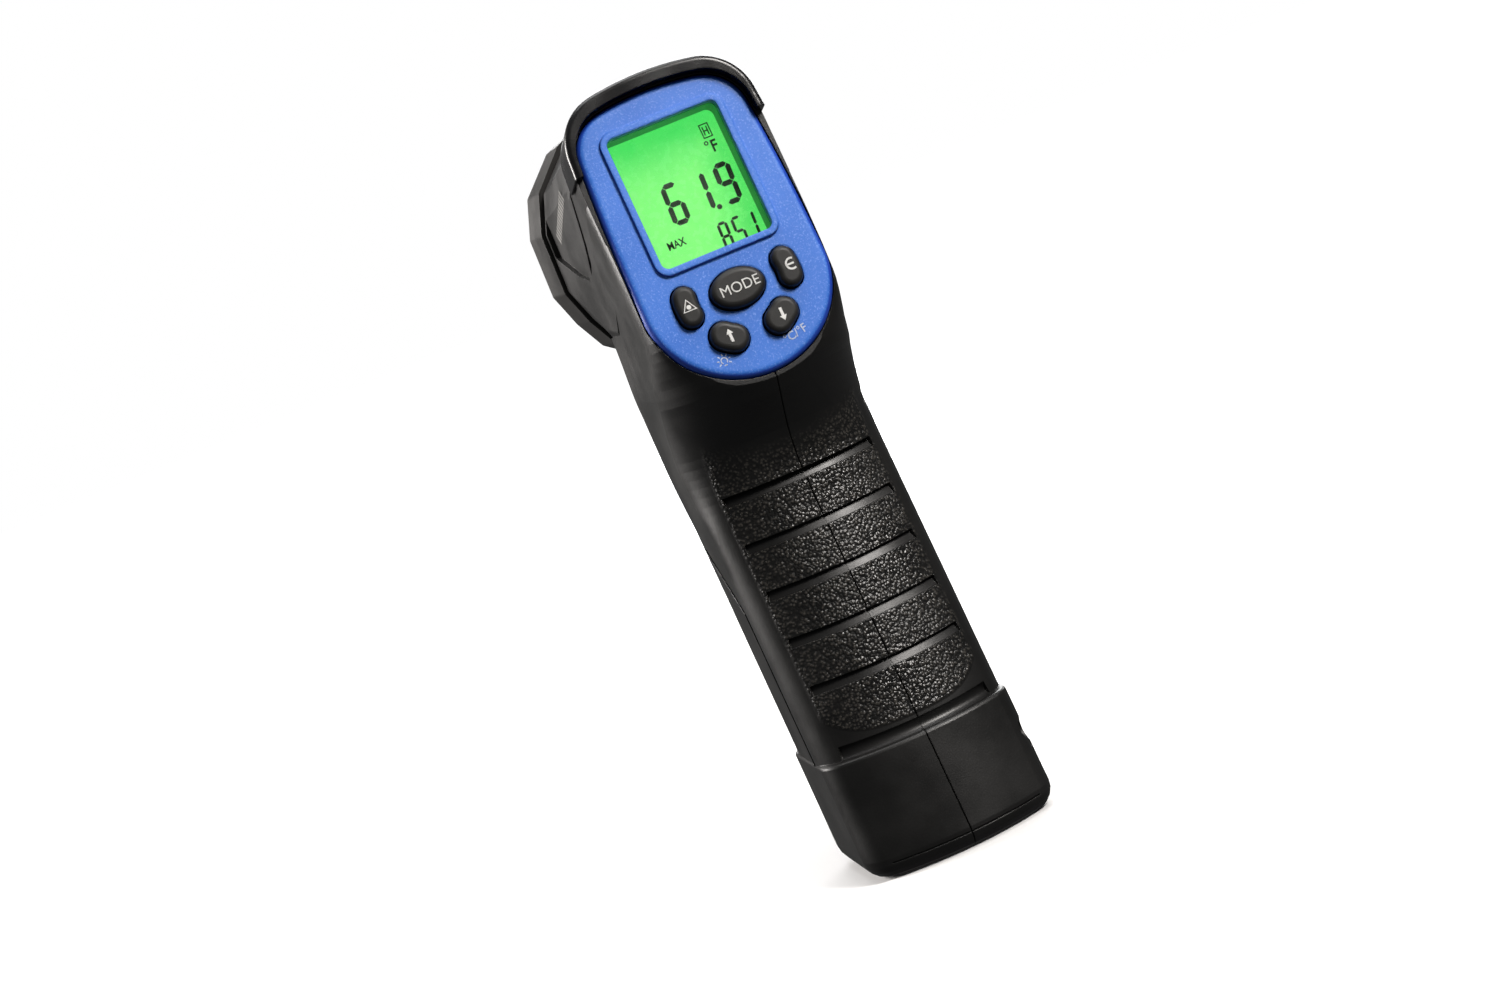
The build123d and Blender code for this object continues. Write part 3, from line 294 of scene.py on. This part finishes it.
def key_place(key):
    """Middle of a key on the display face, as u and v."""
    low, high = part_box(key)
    top, bottom = reach(key, UP), -reach(key, -UP)
    return (low.x + high.x) / 2, (top + bottom) / 2 - chin_level


# ---------------------------------------------------------------- finishes
# The housing has a leather grain on the back of its handle, inside the limits below, with a painted highlight on
# the grain's crests
housing = moulded(
    "housing_black", colour(0.0040, 0.0039, 0.0037), colour(0.0080, 0.0077, 0.0073), 0.40,
    0.34 * MM, 0.026 * MM,
)
BACK_RADIUS = 32.0 * MM
BACK_AXIS_Y = -22.2 * MM + BACK_RADIUS  # axis of the crowned back at the foot's plane
BACK_SLANT = math.tan(math.radians(13.5))
GRAIN_HALF_WIDTH = 17.4 * MM
GRAIN_LOW = 29.0 * MM
GRAIN_HIGH = 88.0 * MM
GRAIN_FADE = 3.0 * MM  # the grain fades out over twice this height at its top
x_here, y_here, z_here = (housing.axis(name) for name in "XYZ")
axis_y = housing.math("ADD", housing.math("MULTIPLY", z_here, BACK_SLANT), BACK_AXIS_Y)
behind = housing.math("SUBTRACT", y_here, axis_y)
from_axis = housing.math(
    "SQRT",
    housing.math("ADD", housing.math("POWER", behind, 2.0), housing.math("POWER", x_here, 2.0)),
)
on_back = housing.ramp(from_axis, BACK_RADIUS - 0.45 * MM, BACK_RADIUS - 0.25 * MM)
rear_side = housing.ramp(behind, -22.0 * MM, -25.0 * MM)
from_middle = housing.math("ABSOLUTE", x_here)
within = housing.ramp(from_middle, GRAIN_HALF_WIDTH + 0.5 * MM, GRAIN_HALF_WIDTH - 0.5 * MM)
bow = housing.math("MULTIPLY", housing.math("POWER", x_here, 2.0), 14.0)
bowed_top = housing.math("SUBTRACT", z_here, bow)
above = housing.ramp(bowed_top, GRAIN_HIGH + GRAIN_FADE, GRAIN_HIGH - GRAIN_FADE)
lower_bow = housing.math("MULTIPLY", housing.math("POWER", x_here, 4.0), 5.0e4)
bowed_foot = housing.math("SUBTRACT", z_here, lower_bow)
below = housing.ramp(bowed_foot, GRAIN_LOW - 0.4 * MM, GRAIN_LOW + 0.4 * MM)
textured = on_back
for limit in (rear_side, within, above, below):
    textured = housing.math("MULTIPLY", textured, limit)
wrinkles = housing.math("MULTIPLY", housing.noise(0.5 * MM, 1.0), 0.6)
leather = housing.math("ADD", housing.pebbles(0.70 * MM, 0.1), wrinkles)
# Painted highlight: the crests of the grain are picked out to be coloured lighter, as if they caught the light
crest_highlight = housing.math("MULTIPLY", housing.ramp(leather, 0.75, 1.15), textured)
leather = housing.math("MULTIPLY", leather, textured)
inner_normal = housing.linked("Normal")
housing.set(Normal=housing.bump(leather, 0.22 * MM, inner_normal))
base_so_far = housing.linked("Base Color")
# Painted highlight: the crests are mixed towards a pale grey
crest_highlight_share = housing.math("MULTIPLY", crest_highlight, 0.75)
housing.set(Base_Color=housing.mix(crest_highlight_share, base_so_far, colour(0.060, 0.055, 0.048)))
housing.set(Specular_IOR_Level=0.5)
rough_so_far = housing.linked("Roughness")
polish = housing.math("MULTIPLY", textured, 0.10)
housing.set(Roughness=housing.math("SUBTRACT", rough_so_far, polish))

hood = moulded(
    "hood_black", colour(0.004, 0.004, 0.0045), colour(0.009, 0.009, 0.010), 0.26,
    0.5 * MM, 0.004 * MM, 0.3 * MM,
)
hood.set(Specular_IOR_Level=0.4)
nose = moulded(
    "nose_black", colour(0.013, 0.0122, 0.0113), colour(0.022, 0.0208, 0.0192), 0.40,
    0.30 * MM, 0.018 * MM, 0.6 * MM,
)
trigger_black = moulded(
    "trigger_black", colour(0.009, 0.009, 0.009), colour(0.017, 0.0165, 0.016), 0.38,
    0.30 * MM, 0.012 * MM, 0.3 * MM,
)

# Blue bezel: pale speckles on its flat face; painted shade makes its rounded edges, which turn away from the face,
# a deeper blue than the face
bezel = Finish("bezel_blue")
bezel_normal = bezel.rounded(0.7 * MM)[0]
lit_flat_face = bezel.ramp(bezel.facing(OUT), 0.80, 0.985)
grit = bezel.noise(0.42 * MM, 3.0, 0.65)
fine_grit = bezel.noise(0.2 * MM, 2.0, 0.6)
pale = bezel.math("MULTIPLY", bezel.ramp(grit, 0.50, 0.72), lit_flat_face)
drift = bezel.ramp(bezel.noise(16 * MM), 0.3, 0.7)
# Lit and shaded copies of one blue: painted shade for the rounded edges, a painted lighter blue for the flat face
shaded_edge_blue = bezel.mix(drift, colour(0.010, 0.055, 0.44), colour(0.016, 0.075, 0.52))
lit_face_blue = bezel.mix(drift, colour(0.034, 0.170, 0.68), colour(0.048, 0.200, 0.75))
bezel_base = bezel.mix(lit_flat_face, shaded_edge_blue, lit_face_blue)
bezel_base = bezel.mix(pale, bezel_base, colour(0.16, 0.34, 0.86))
bezel_rough = bezel.ramp(fine_grit, 0.3, 0.7, 0.36, 0.5)
bezel_relief = bezel.bump(grit, 0.035 * MM, bezel_normal)
bezel.set(Base_Color=bezel_base, Roughness=bezel_rough, Normal=bezel_relief)

key_rubber = moulded(
    "key_rubber", colour(0.014, 0.0138, 0.0132), colour(0.026, 0.0255, 0.0245), 0.5,
    0.22 * MM, 0.008 * MM, 0.2 * MM,
)
key_rubber.set(Specular_IOR_Level=0.35)

# Backlit display: brightest left of its middle, deeper green at its top and right
lcd = Finish("lcd_green")
across = lcd.axis("X")
height = lcd.axis("Z")
right_side = lcd.ramp(across, 1.0 * MM, 12.5 * MM)
glass_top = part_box("lcd_glass")[1].z
upper_side = lcd.ramp(height, glass_top - 16.0 * MM, glass_top - 1.5 * MM)
deeper = lcd.math("MAXIMUM", lcd.math("MULTIPLY", right_side, 0.75), upper_side)
ripple = lcd.math("MULTIPLY", lcd.ramp(lcd.noise(4 * MM), 0.3, 0.7), 0.12)
deeper = lcd.math("ADD", deeper, ripple)
glow = lcd.mix(deeper, colour(0.235, 0.93, 0.20), colour(0.060, 0.74, 0.115))
lcd.set(
    Base_Color=lcd.mix(deeper, colour(0.05, 0.20, 0.05), colour(0.02, 0.15, 0.03)),
    Emission_Color=glow, Emission_Strength=1.0,
    Roughness=lcd.ramp(lcd.noise(1.2 * MM), 0.3, 0.7, 0.22, 0.3),
)

shroud = moulded(
    "display_well", colour(0.008, 0.115, 0.030), colour(0.013, 0.165, 0.045), 0.4,
    0.5 * MM, 0.01 * MM, 0.2 * MM,
)
# Painted light: the well's walls glow a little green, standing in for the backlight's light falling on them
painted_glow_blotches = shroud.ramp(shroud.noise(5 * MM), 0.3, 0.7)
shroud.set(
    Emission_Color=shroud.mix(painted_glow_blotches, colour(0.01, 0.16, 0.03), colour(0.014, 0.20, 0.04)),
    Emission_Strength=0.25,
)

clear = Finish("clear_window")
smears = clear.noise(9 * MM, 3.0, 0.6)
clear.set(
    Base_Color=clear.mix(smears, colour(0.97, 0.99, 0.97), colour(0.99, 1.0, 0.99)),
    Roughness=clear.ramp(smears, 0.35, 0.7, 0.01, 0.04),
    Transmission_Weight=1.0, IOR=1.46,
)

# Infrared lens: milky plastic
lens_finish = moulded(
    "infrared_lens", colour(0.62, 0.62, 0.58), colour(0.74, 0.74, 0.70), 0.24, 1.5 * MM,
    0.004 * MM, 0.1 * MM,
)
lens_finish.set(Subsurface_Weight=0.4, Subsurface_Scale=2.0 * MM)

board_green = moulded(
    "board_green", colour(0.006, 0.05, 0.018), colour(0.012, 0.09, 0.035), 0.35, 0.8 * MM, 0.02 * MM
)
steel = metal("zinc_steel", colour(0.42, 0.43, 0.44), colour(0.66, 0.67, 0.68), 0.32, 0.5 * MM)
wire_steel = metal("spring_wire", colour(0.4, 0.4, 0.41), colour(0.6, 0.6, 0.6), 0.28, 0.3 * MM)
brass = metal("laser_brass", colour(0.60, 0.43, 0.17), colour(0.80, 0.62, 0.30), 0.3, 0.5 * MM)
plated = metal("plated_can", colour(0.55, 0.54, 0.50), colour(0.74, 0.73, 0.69), 0.26, 0.6 * MM)
chip = moulded("chip_black", colour(0.012, 0.012, 0.013), colour(0.022, 0.022, 0.023), 0.55,
               0.2 * MM, 0.01 * MM)
ceramic = moulded("ceramic", colour(0.38, 0.29, 0.19), colour(0.50, 0.41, 0.29), 0.5,
                  0.3 * MM, 0.01 * MM)
soft_rubber = moulded("soft_rubber", colour(0.010, 0.010, 0.010), colour(0.022, 0.022, 0.022), 0.6,
                      0.3 * MM, 0.02 * MM)
mat_rubber = moulded("mat_rubber", colour(0.07, 0.07, 0.07), colour(0.12, 0.12, 0.12), 0.62,
                     0.4 * MM, 0.02 * MM)
carbon = moulded("carbon", colour(0.006, 0.006, 0.006), colour(0.014, 0.014, 0.014), 0.7,
                 0.1 * MM, 0.01 * MM)
can = moulded("battery_can", colour(0.035, 0.035, 0.038), colour(0.07, 0.07, 0.075), 0.3,
              2.0 * MM, 0.01 * MM)
foam = moulded("foam", colour(0.03, 0.03, 0.03), colour(0.08, 0.08, 0.08), 0.9,
               0.6 * MM, 0.25 * MM)
red_wire = moulded("red_wire", colour(0.38, 0.010, 0.010), colour(0.55, 0.025, 0.02), 0.4,
                   1.0 * MM, 0.01 * MM)
black_wire = moulded("black_wire", colour(0.010, 0.010, 0.010), colour(0.025, 0.025, 0.025), 0.4,
                     1.0 * MM, 0.01 * MM)
tube_black = moulded("tube_black", colour(0.008, 0.008, 0.008), colour(0.016, 0.016, 0.016), 0.6,
                     0.25 * MM, 0.02 * MM)
pale_plastic = moulded("plunger_white", colour(0.50, 0.50, 0.47), colour(0.64, 0.64, 0.61), 0.4,
                       0.4 * MM, 0.01 * MM)
diffuser = moulded("diffuser", colour(0.20, 0.60, 0.20), colour(0.28, 0.75, 0.28), 0.5,
                   0.6 * MM, 0.01 * MM)
print_white = moulded("print_white", colour(0.78, 0.78, 0.76), colour(0.90, 0.90, 0.88), 0.5,
                      0.25 * MM, 0.004 * MM)
print_pale = moulded("print_pale", colour(0.55, 0.66, 0.92), colour(0.72, 0.80, 0.97), 0.5,
                     0.25 * MM, 0.004 * MM)
print_grey = moulded("print_grey", colour(0.22, 0.215, 0.205), colour(0.38, 0.37, 0.35), 0.5,
                     0.25 * MM, 0.004 * MM)
segment_black = moulded("segment_black", colour(0.010, 0.026, 0.010), colour(0.015, 0.036, 0.015),
                        0.5, 0.5 * MM, 0.002 * MM)

SLOT_FINISH = {
    "housing_plastic": housing,
    "trigger_plastic": trigger_black,
    "nose_plastic": nose,
    "hood_plastic": hood,
    "blue_plastic": bezel,
    "clear_window": clear,
    "green_light_frame": shroud,
    "lcd_green": lcd,
    "backlight": diffuser,
    "black_rubber": soft_rubber,
    "circuit_board": board_green,
    "steel": steel,
    "spring_steel": wire_steel,
    "chip_plastic": chip,
    "ceramic_parts": ceramic,
    "mat_rubber": mat_rubber,
    "key_rubber": key_rubber,
    "carbon": carbon,
    "battery_case": can,
    "foam": foam,
    "red_wire": red_wire,
    "black_wire": black_wire,
    "optics_plastic": tube_black,
    "lens_plastic": lens_finish,
    "laser_brass": brass,
    "sensor_metal": plated,
    "plunger_plastic": pale_plastic,
}
for subpart in frame["record"]["subparts"]:
    slots = nodes[subpart["node"]].data.materials
    slots.clear()
    slots.append(SLOT_FINISH[subpart["material_slot"]].material)

# ---------------------------------------------------------------- printed marks and segments
PRINT_THICKNESS = 0.03 * MM
PRINT_GAP = 0.01 * MM  # keeps a mark clear of the surface it lies on
FULL_RING = 345  # last point of a ring of 24 points, in degrees


def stroke(points, width, closed=False):
    """A line of constant width as four-cornered patches, mitred where it bends."""
    points = [Vector(point) for point in points]
    count = len(points)
    left, right = [], []
    for place, point in enumerate(points):
        before = points[place - 1] if closed or place > 0 else None
        after = points[(place + 1) % count] if closed or place < count - 1 else None
        ways = []
        if before is not None:
            ways.append((point - before).normalized())
        if after is not None:
            ways.append((after - point).normalized())
        along = sum(ways, Vector((0, 0))).normalized()
        side = Vector((-along.y, along.x))
        spread = width / 2 / max(0.5, side.dot(Vector((-ways[0].y, ways[0].x))))
        left.append(point + side * spread)
        right.append(point - side * spread)
    steps = count if closed else count - 1
    patches = []
    for place in range(steps):
        following = (place + 1) % count
        patches.append([right[place], right[following], left[following], left[place]])
    return patches


def arc(centre, radius, start, end, steps):
    """Points on a circle from one angle to another, in degrees."""
    points = []
    for step in range(steps + 1):
        angle = math.radians(start + (end - start) * step / steps)
        points.append((centre[0] + radius * math.cos(angle), centre[1] + radius * math.sin(angle)))
    return points


def ring(centre, radius):
    return arc(centre, radius, 0, FULL_RING, 23)


def disc(centre, radius):
    return [ring(centre, radius)]


def add_mark(name, patches, to_world, out, finish, body):
    """Thin raised patches: each is an outline in flat coordinates that to_world puts in place."""
    mesh = bpy.data.meshes.new(name)
    shape = bmesh.new()
    for patch in patches:
        low = [shape.verts.new(to_world(point[0], point[1])) for point in patch]
        high = [shape.verts.new(vertex.co + out * PRINT_THICKNESS) for vertex in low]
        shape.faces.new(high)
        shape.faces.new(list(reversed(low)))
        for place in range(len(patch)):
            after = (place + 1) % len(patch)
            shape.faces.new((low[place], low[after], high[after], high[place]))
    bmesh.ops.recalc_face_normals(shape, faces=shape.faces)
    shape.to_mesh(mesh)
    shape.free()
    mesh.materials.append(finish.material)
    mark = bpy.data.objects.new(name, mesh)
    bpy.context.scene.collection.objects.link(mark)
    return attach(mark, body)


def letters(text, size, centre, turn=0.0, stretch=1.0, weight=0.0):
    """Outlines of a word in the built-in plain typeface, as patches round a centre."""
    curve = bpy.data.curves.new("letters", "FONT")
    curve.offset = weight
    curve.body = text
    curve.size = size
    curve.align_x = "CENTER"
    curve.align_y = "CENTER"
    holder = bpy.data.objects.new("letters", curve)
    bpy.context.scene.collection.objects.link(holder)
    graph = bpy.context.evaluated_depsgraph_get()
    outline = bpy.data.meshes.new_from_object(holder.evaluated_get(graph))
    cos_turn, sin_turn = math.cos(turn), math.sin(turn)
    patches = []
    for polygon in outline.polygons:
        patch = []
        for index in polygon.vertices:
            x, y = outline.vertices[index].co.xy
            x *= stretch
            patch.append(
                (centre[0] + x * cos_turn - y * sin_turn, centre[1] + x * sin_turn + y * cos_turn)
            )
        patches.append(patch)
    bpy.data.objects.remove(holder)
    bpy.data.curves.remove(curve)
    bpy.data.meshes.remove(outline)
    return patches


# Segments of a digit, by name: which end points of the figure they join
SEGMENTS = {
    "top": ((0, 1), (1, 1)),
    "upper_left": ((0, 1), (0, 0.5)),
    "upper_right": ((1, 1), (1, 0.5)),
    "middle": ((0, 0.5), (1, 0.5)),
    "lower_left": ((0, 0.5), (0, 0)),
    "lower_right": ((1, 0.5), (1, 0)),
    "bottom": ((0, 0), (1, 0)),
}
LIT = {
    "1": ("upper_right", "lower_right"),
    "5": ("top", "upper_left", "middle", "lower_right", "bottom"),
    "6": ("top", "upper_left", "middle", "lower_left", "lower_right", "bottom"),
    "8": tuple(SEGMENTS),
    "9": ("top", "upper_left", "upper_right", "middle", "lower_right", "bottom"),
}
DIGIT_SLANT = 0.05


def digit(figure, left, low, width, tall, bar):
    """The lit bars of a seven-segment figure, each with pointed ends."""
    bars = []
    gap = bar * 0.07
    corner = Vector((left + bar / 2, low + bar / 2))
    for segment in LIT[figure]:
        start, end = (
            corner + Vector((across * (width - bar), up * (tall - bar)))
            for across, up in SEGMENTS[segment]
        )
        way = (end - start).normalized()
        side = Vector((-way.y, way.x)) * bar / 2
        tip = way * gap
        bevel = way * (gap + bar / 2)
        outline = [start + tip, start + bevel - side, end - bevel - side, end - tip]
        outline += [end - bevel + side, start + bevel + side]
        bars.append([(point.x + DIGIT_SLANT * (point.y - low), point.y) for point in outline])
    return bars


def on_display(u, v):
    return face_point(u, v, lcd_level)


lcd_level = reach("lcd_glass", OUT) + PRINT_GAP
BIG_DIGIT = (3.9 * MM, 9.1 * MM, 1.08 * MM)  # width, height and thickness of a bar
BIG_DIGIT_LOW = 35.8 * MM
for name, figure, left in (("tens", "6", -5.0), ("units", "1", 0.75), ("tenths", "9", 6.7)):
    bars = digit(figure, left * MM, BIG_DIGIT_LOW, *BIG_DIGIT)
    add_mark("big_digit_" + name, bars, on_display, OUT, segment_black, "root")
point = disc((5.3 * MM, BIG_DIGIT_LOW + 0.55 * MM), 0.55 * MM)
add_mark("decimal_point", point, on_display, OUT, segment_black, "root")
SMALL_DIGIT = (2.25 * MM, 6.3 * MM, 0.6 * MM)
SMALL_DIGIT_LOW = 27.0 * MM
for name, figure, left in (("hundreds", "8", 2.7), ("tens", "5", 5.8), ("units", "1", 8.6)):
    bars = digit(figure, left * MM, SMALL_DIGIT_LOW, *SMALL_DIGIT)
    add_mark("small_digit_" + name, bars, on_display, OUT, segment_black, "root")

maximum = letters("MAX", 2.35 * MM, (-6.2 * MM, 32.5 * MM), 0.0, 0.78, 0.045 * MM)
add_mark("display_word_max", maximum, on_display, OUT, segment_black, "root")
unit_mark = letters("F", 3.6 * MM, (9.75 * MM, 48.5 * MM), 0.0, 0.85, 0.07 * MM)
unit_mark += stroke(ring((8.35 * MM, 49.6 * MM), 0.35 * MM), 0.24 * MM, closed=True)
add_mark("display_unit", unit_mark, on_display, OUT, segment_black, "root")
hold_box = [(8.45, 50.7), (10.3, 50.7), (10.3, 53.6), (8.45, 53.6)]
hold_mark = stroke([(u * MM, v * MM) for u, v in hold_box], 0.24 * MM, closed=True)
for u in (8.95, 9.8):
    hold_mark += stroke([(u * MM, 51.2 * MM), (u * MM, 53.1 * MM)], 0.26 * MM)
hold_mark += stroke([(8.95 * MM, 52.15 * MM), (9.8 * MM, 52.15 * MM)], 0.3 * MM)
add_mark("display_hold_sign", hold_mark, on_display, OUT, segment_black, "root")


def add_key_mark(key, name, patches):
    """Puts a printed sign, given round (0, 0), on the top of a key."""
    u_key, v_key = key_place(key)
    level = reach(key, OUT) + PRINT_GAP / 2

    def place(u, v):
        return face_point(u_key + u, v_key + v, level)

    add_mark(name, patches, place, OUT, print_white, key)


ARROW = [(-0.75, 0.35), (0.0, 1.45), (0.75, 0.35)]
ARROW_SHAFT = [(-0.3, -1.35), (0.3, -1.35), (0.3, 0.35), (-0.3, 0.35)]


def arrow(way):
    """Head and shaft of an arrow that points up for way 1 and down for way -1."""
    return [[(u * MM, v * way * MM) for u, v in part] for part in (ARROW, ARROW_SHAFT)]


add_key_mark("mode_key", "mode_word", letters("MODE", 3.05 * MM, (0.25 * MM, -0.1 * MM)))
add_key_mark("up_key", "up_arrow", arrow(1))
add_key_mark("down_key", "down_arrow", arrow(-1))
triangle = stroke(arc((0, -0.25 * MM), 1.55 * MM, 90, 330, 2), 0.2 * MM, closed=True)
triangle += disc((0, -0.3 * MM), 0.48 * MM)
add_key_mark("laser_key", "laser_sign", triangle)
epsilon = stroke(arc((0.8 * MM, 0), 1.15 * MM, 60, 300, 16), 0.42 * MM)
epsilon += stroke([(-0.3 * MM, 0), (1.3 * MM, 0)], 0.4 * MM)
add_key_mark("emissivity_key", "epsilon_sign", epsilon)


def on_bezel(u, v):
    return face_point(u, v, face_level + 2 * PRINT_GAP)


LAMP = (-8.7 * MM, 5.7 * MM)
LAMP_LINE = 0.24 * MM
LAMP_RAYS = 7
lamp_sign = stroke(arc(LAMP, 0.65 * MM, -50, 230, 18), LAMP_LINE)
cap_level = LAMP[1] - 0.95 * MM
lamp_sign += stroke([(LAMP[0] - 0.3 * MM, cap_level), (LAMP[0] + 0.3 * MM, cap_level)], LAMP_LINE)
inner_ends = arc(LAMP, 1.0 * MM, -30, 210, LAMP_RAYS - 1)
outer_ends = arc(LAMP, 1.5 * MM, -30, 210, LAMP_RAYS - 1)
for inner_end, outer_end in zip(inner_ends, outer_ends):
    lamp_sign += stroke([inner_end, outer_end], LAMP_LINE)
add_mark("lamp_sign", lamp_sign, on_bezel, OUT, print_pale, "root")
units = letters("°C/°F", 2.5 * MM, (6.95 * MM, 5.2 * MM), math.radians(11), 0.95, 0.03 * MM)
add_mark("unit_words", units, on_bezel, OUT, print_pale, "root")

# Decorative band of slanted bars on each side panel of the barrel
sight_height = sum(corner.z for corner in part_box("infrared_lens")) / 2
BAND_START = Vector((22.0 * MM, sight_height + 14.6 * MM))
BAND_END = Vector((45.0 * MM, sight_height + 6.0 * MM))
BAND_BARS = 13
BAND_HEIGHT = 2.6 * MM
BAR_WIDTH = 1.0 * MM
BAR_LEAN = 0.5 * MM
PANEL_X = 20.1 * MM


def band_bars():
    """The bars of the band, in the plane of the panel."""
    run = BAND_END - BAND_START
    across_band = Vector((-run.y, run.x)).normalized() * BAND_HEIGHT / 2
    lean = run.normalized() * BAR_LEAN
    bars = []
    for number in range(BAND_BARS):
        middle = BAND_START + run * (number + 0.5) / BAND_BARS
        bars += stroke([middle - across_band - lean, middle + across_band + lean], BAR_WIDTH)
    return bars


def add_panel_band(name, side):
    """Puts the band on the panel of one side: -1 for the left, 1 for the right."""

    def on_panel(y, z):
        return Vector((side * PANEL_X, y, z))

    add_mark(name, band_bars(), on_panel, Vector((side, 0, 0)), print_grey, "root")


add_panel_band("panel_band_left", -1)
add_panel_band("panel_band_right", 1)

# ---------------------------------------------------------------- floor
FLOOR_RADIUS = 6.0
FADE_START, FADE_END = 0.25, 0.8  # the floor brightens to the backdrop between these distances
floor_mesh = bpy.data.meshes.new("floor")
floor_shape = bmesh.new()
bmesh.ops.create_circle(floor_shape, cap_ends=True, radius=FLOOR_RADIUS, segments=96)
floor_shape.to_mesh(floor_mesh)
floor_shape.free()
floor = bpy.data.objects.new("floor", floor_mesh)
bpy.context.scene.collection.objects.link(floor)
paper = Finish("floor_paper")
fibres = paper.noise(1.2 * MM, 4.0, 0.6)
centre_distance = paper.node("ShaderNodeVectorMath")
centre_distance.operation = "LENGTH"
paper.feed(centre_distance.inputs[0], paper.place)
far = paper.ramp(centre_distance.outputs["Value"], FADE_START, FADE_END)
paper.set(
    Base_Color=paper.mix(paper.noise(60 * MM), colour(0.90, 0.90, 0.90), colour(0.93, 0.93, 0.93)),
    Roughness=paper.ramp(fibres, 0.3, 0.7, 0.85, 0.95),
    Normal=paper.bump(fibres, 0.02 * MM),
    Emission_Color=paper.mix(far, colour(0.0, 0.0, 0.0), colour(1.0, 1.0, 1.0)),
    Emission_Strength=1.0,
)
floor.visible_glossy = False
floor.visible_diffuse = False
floor_mesh.materials.append(paper.material)
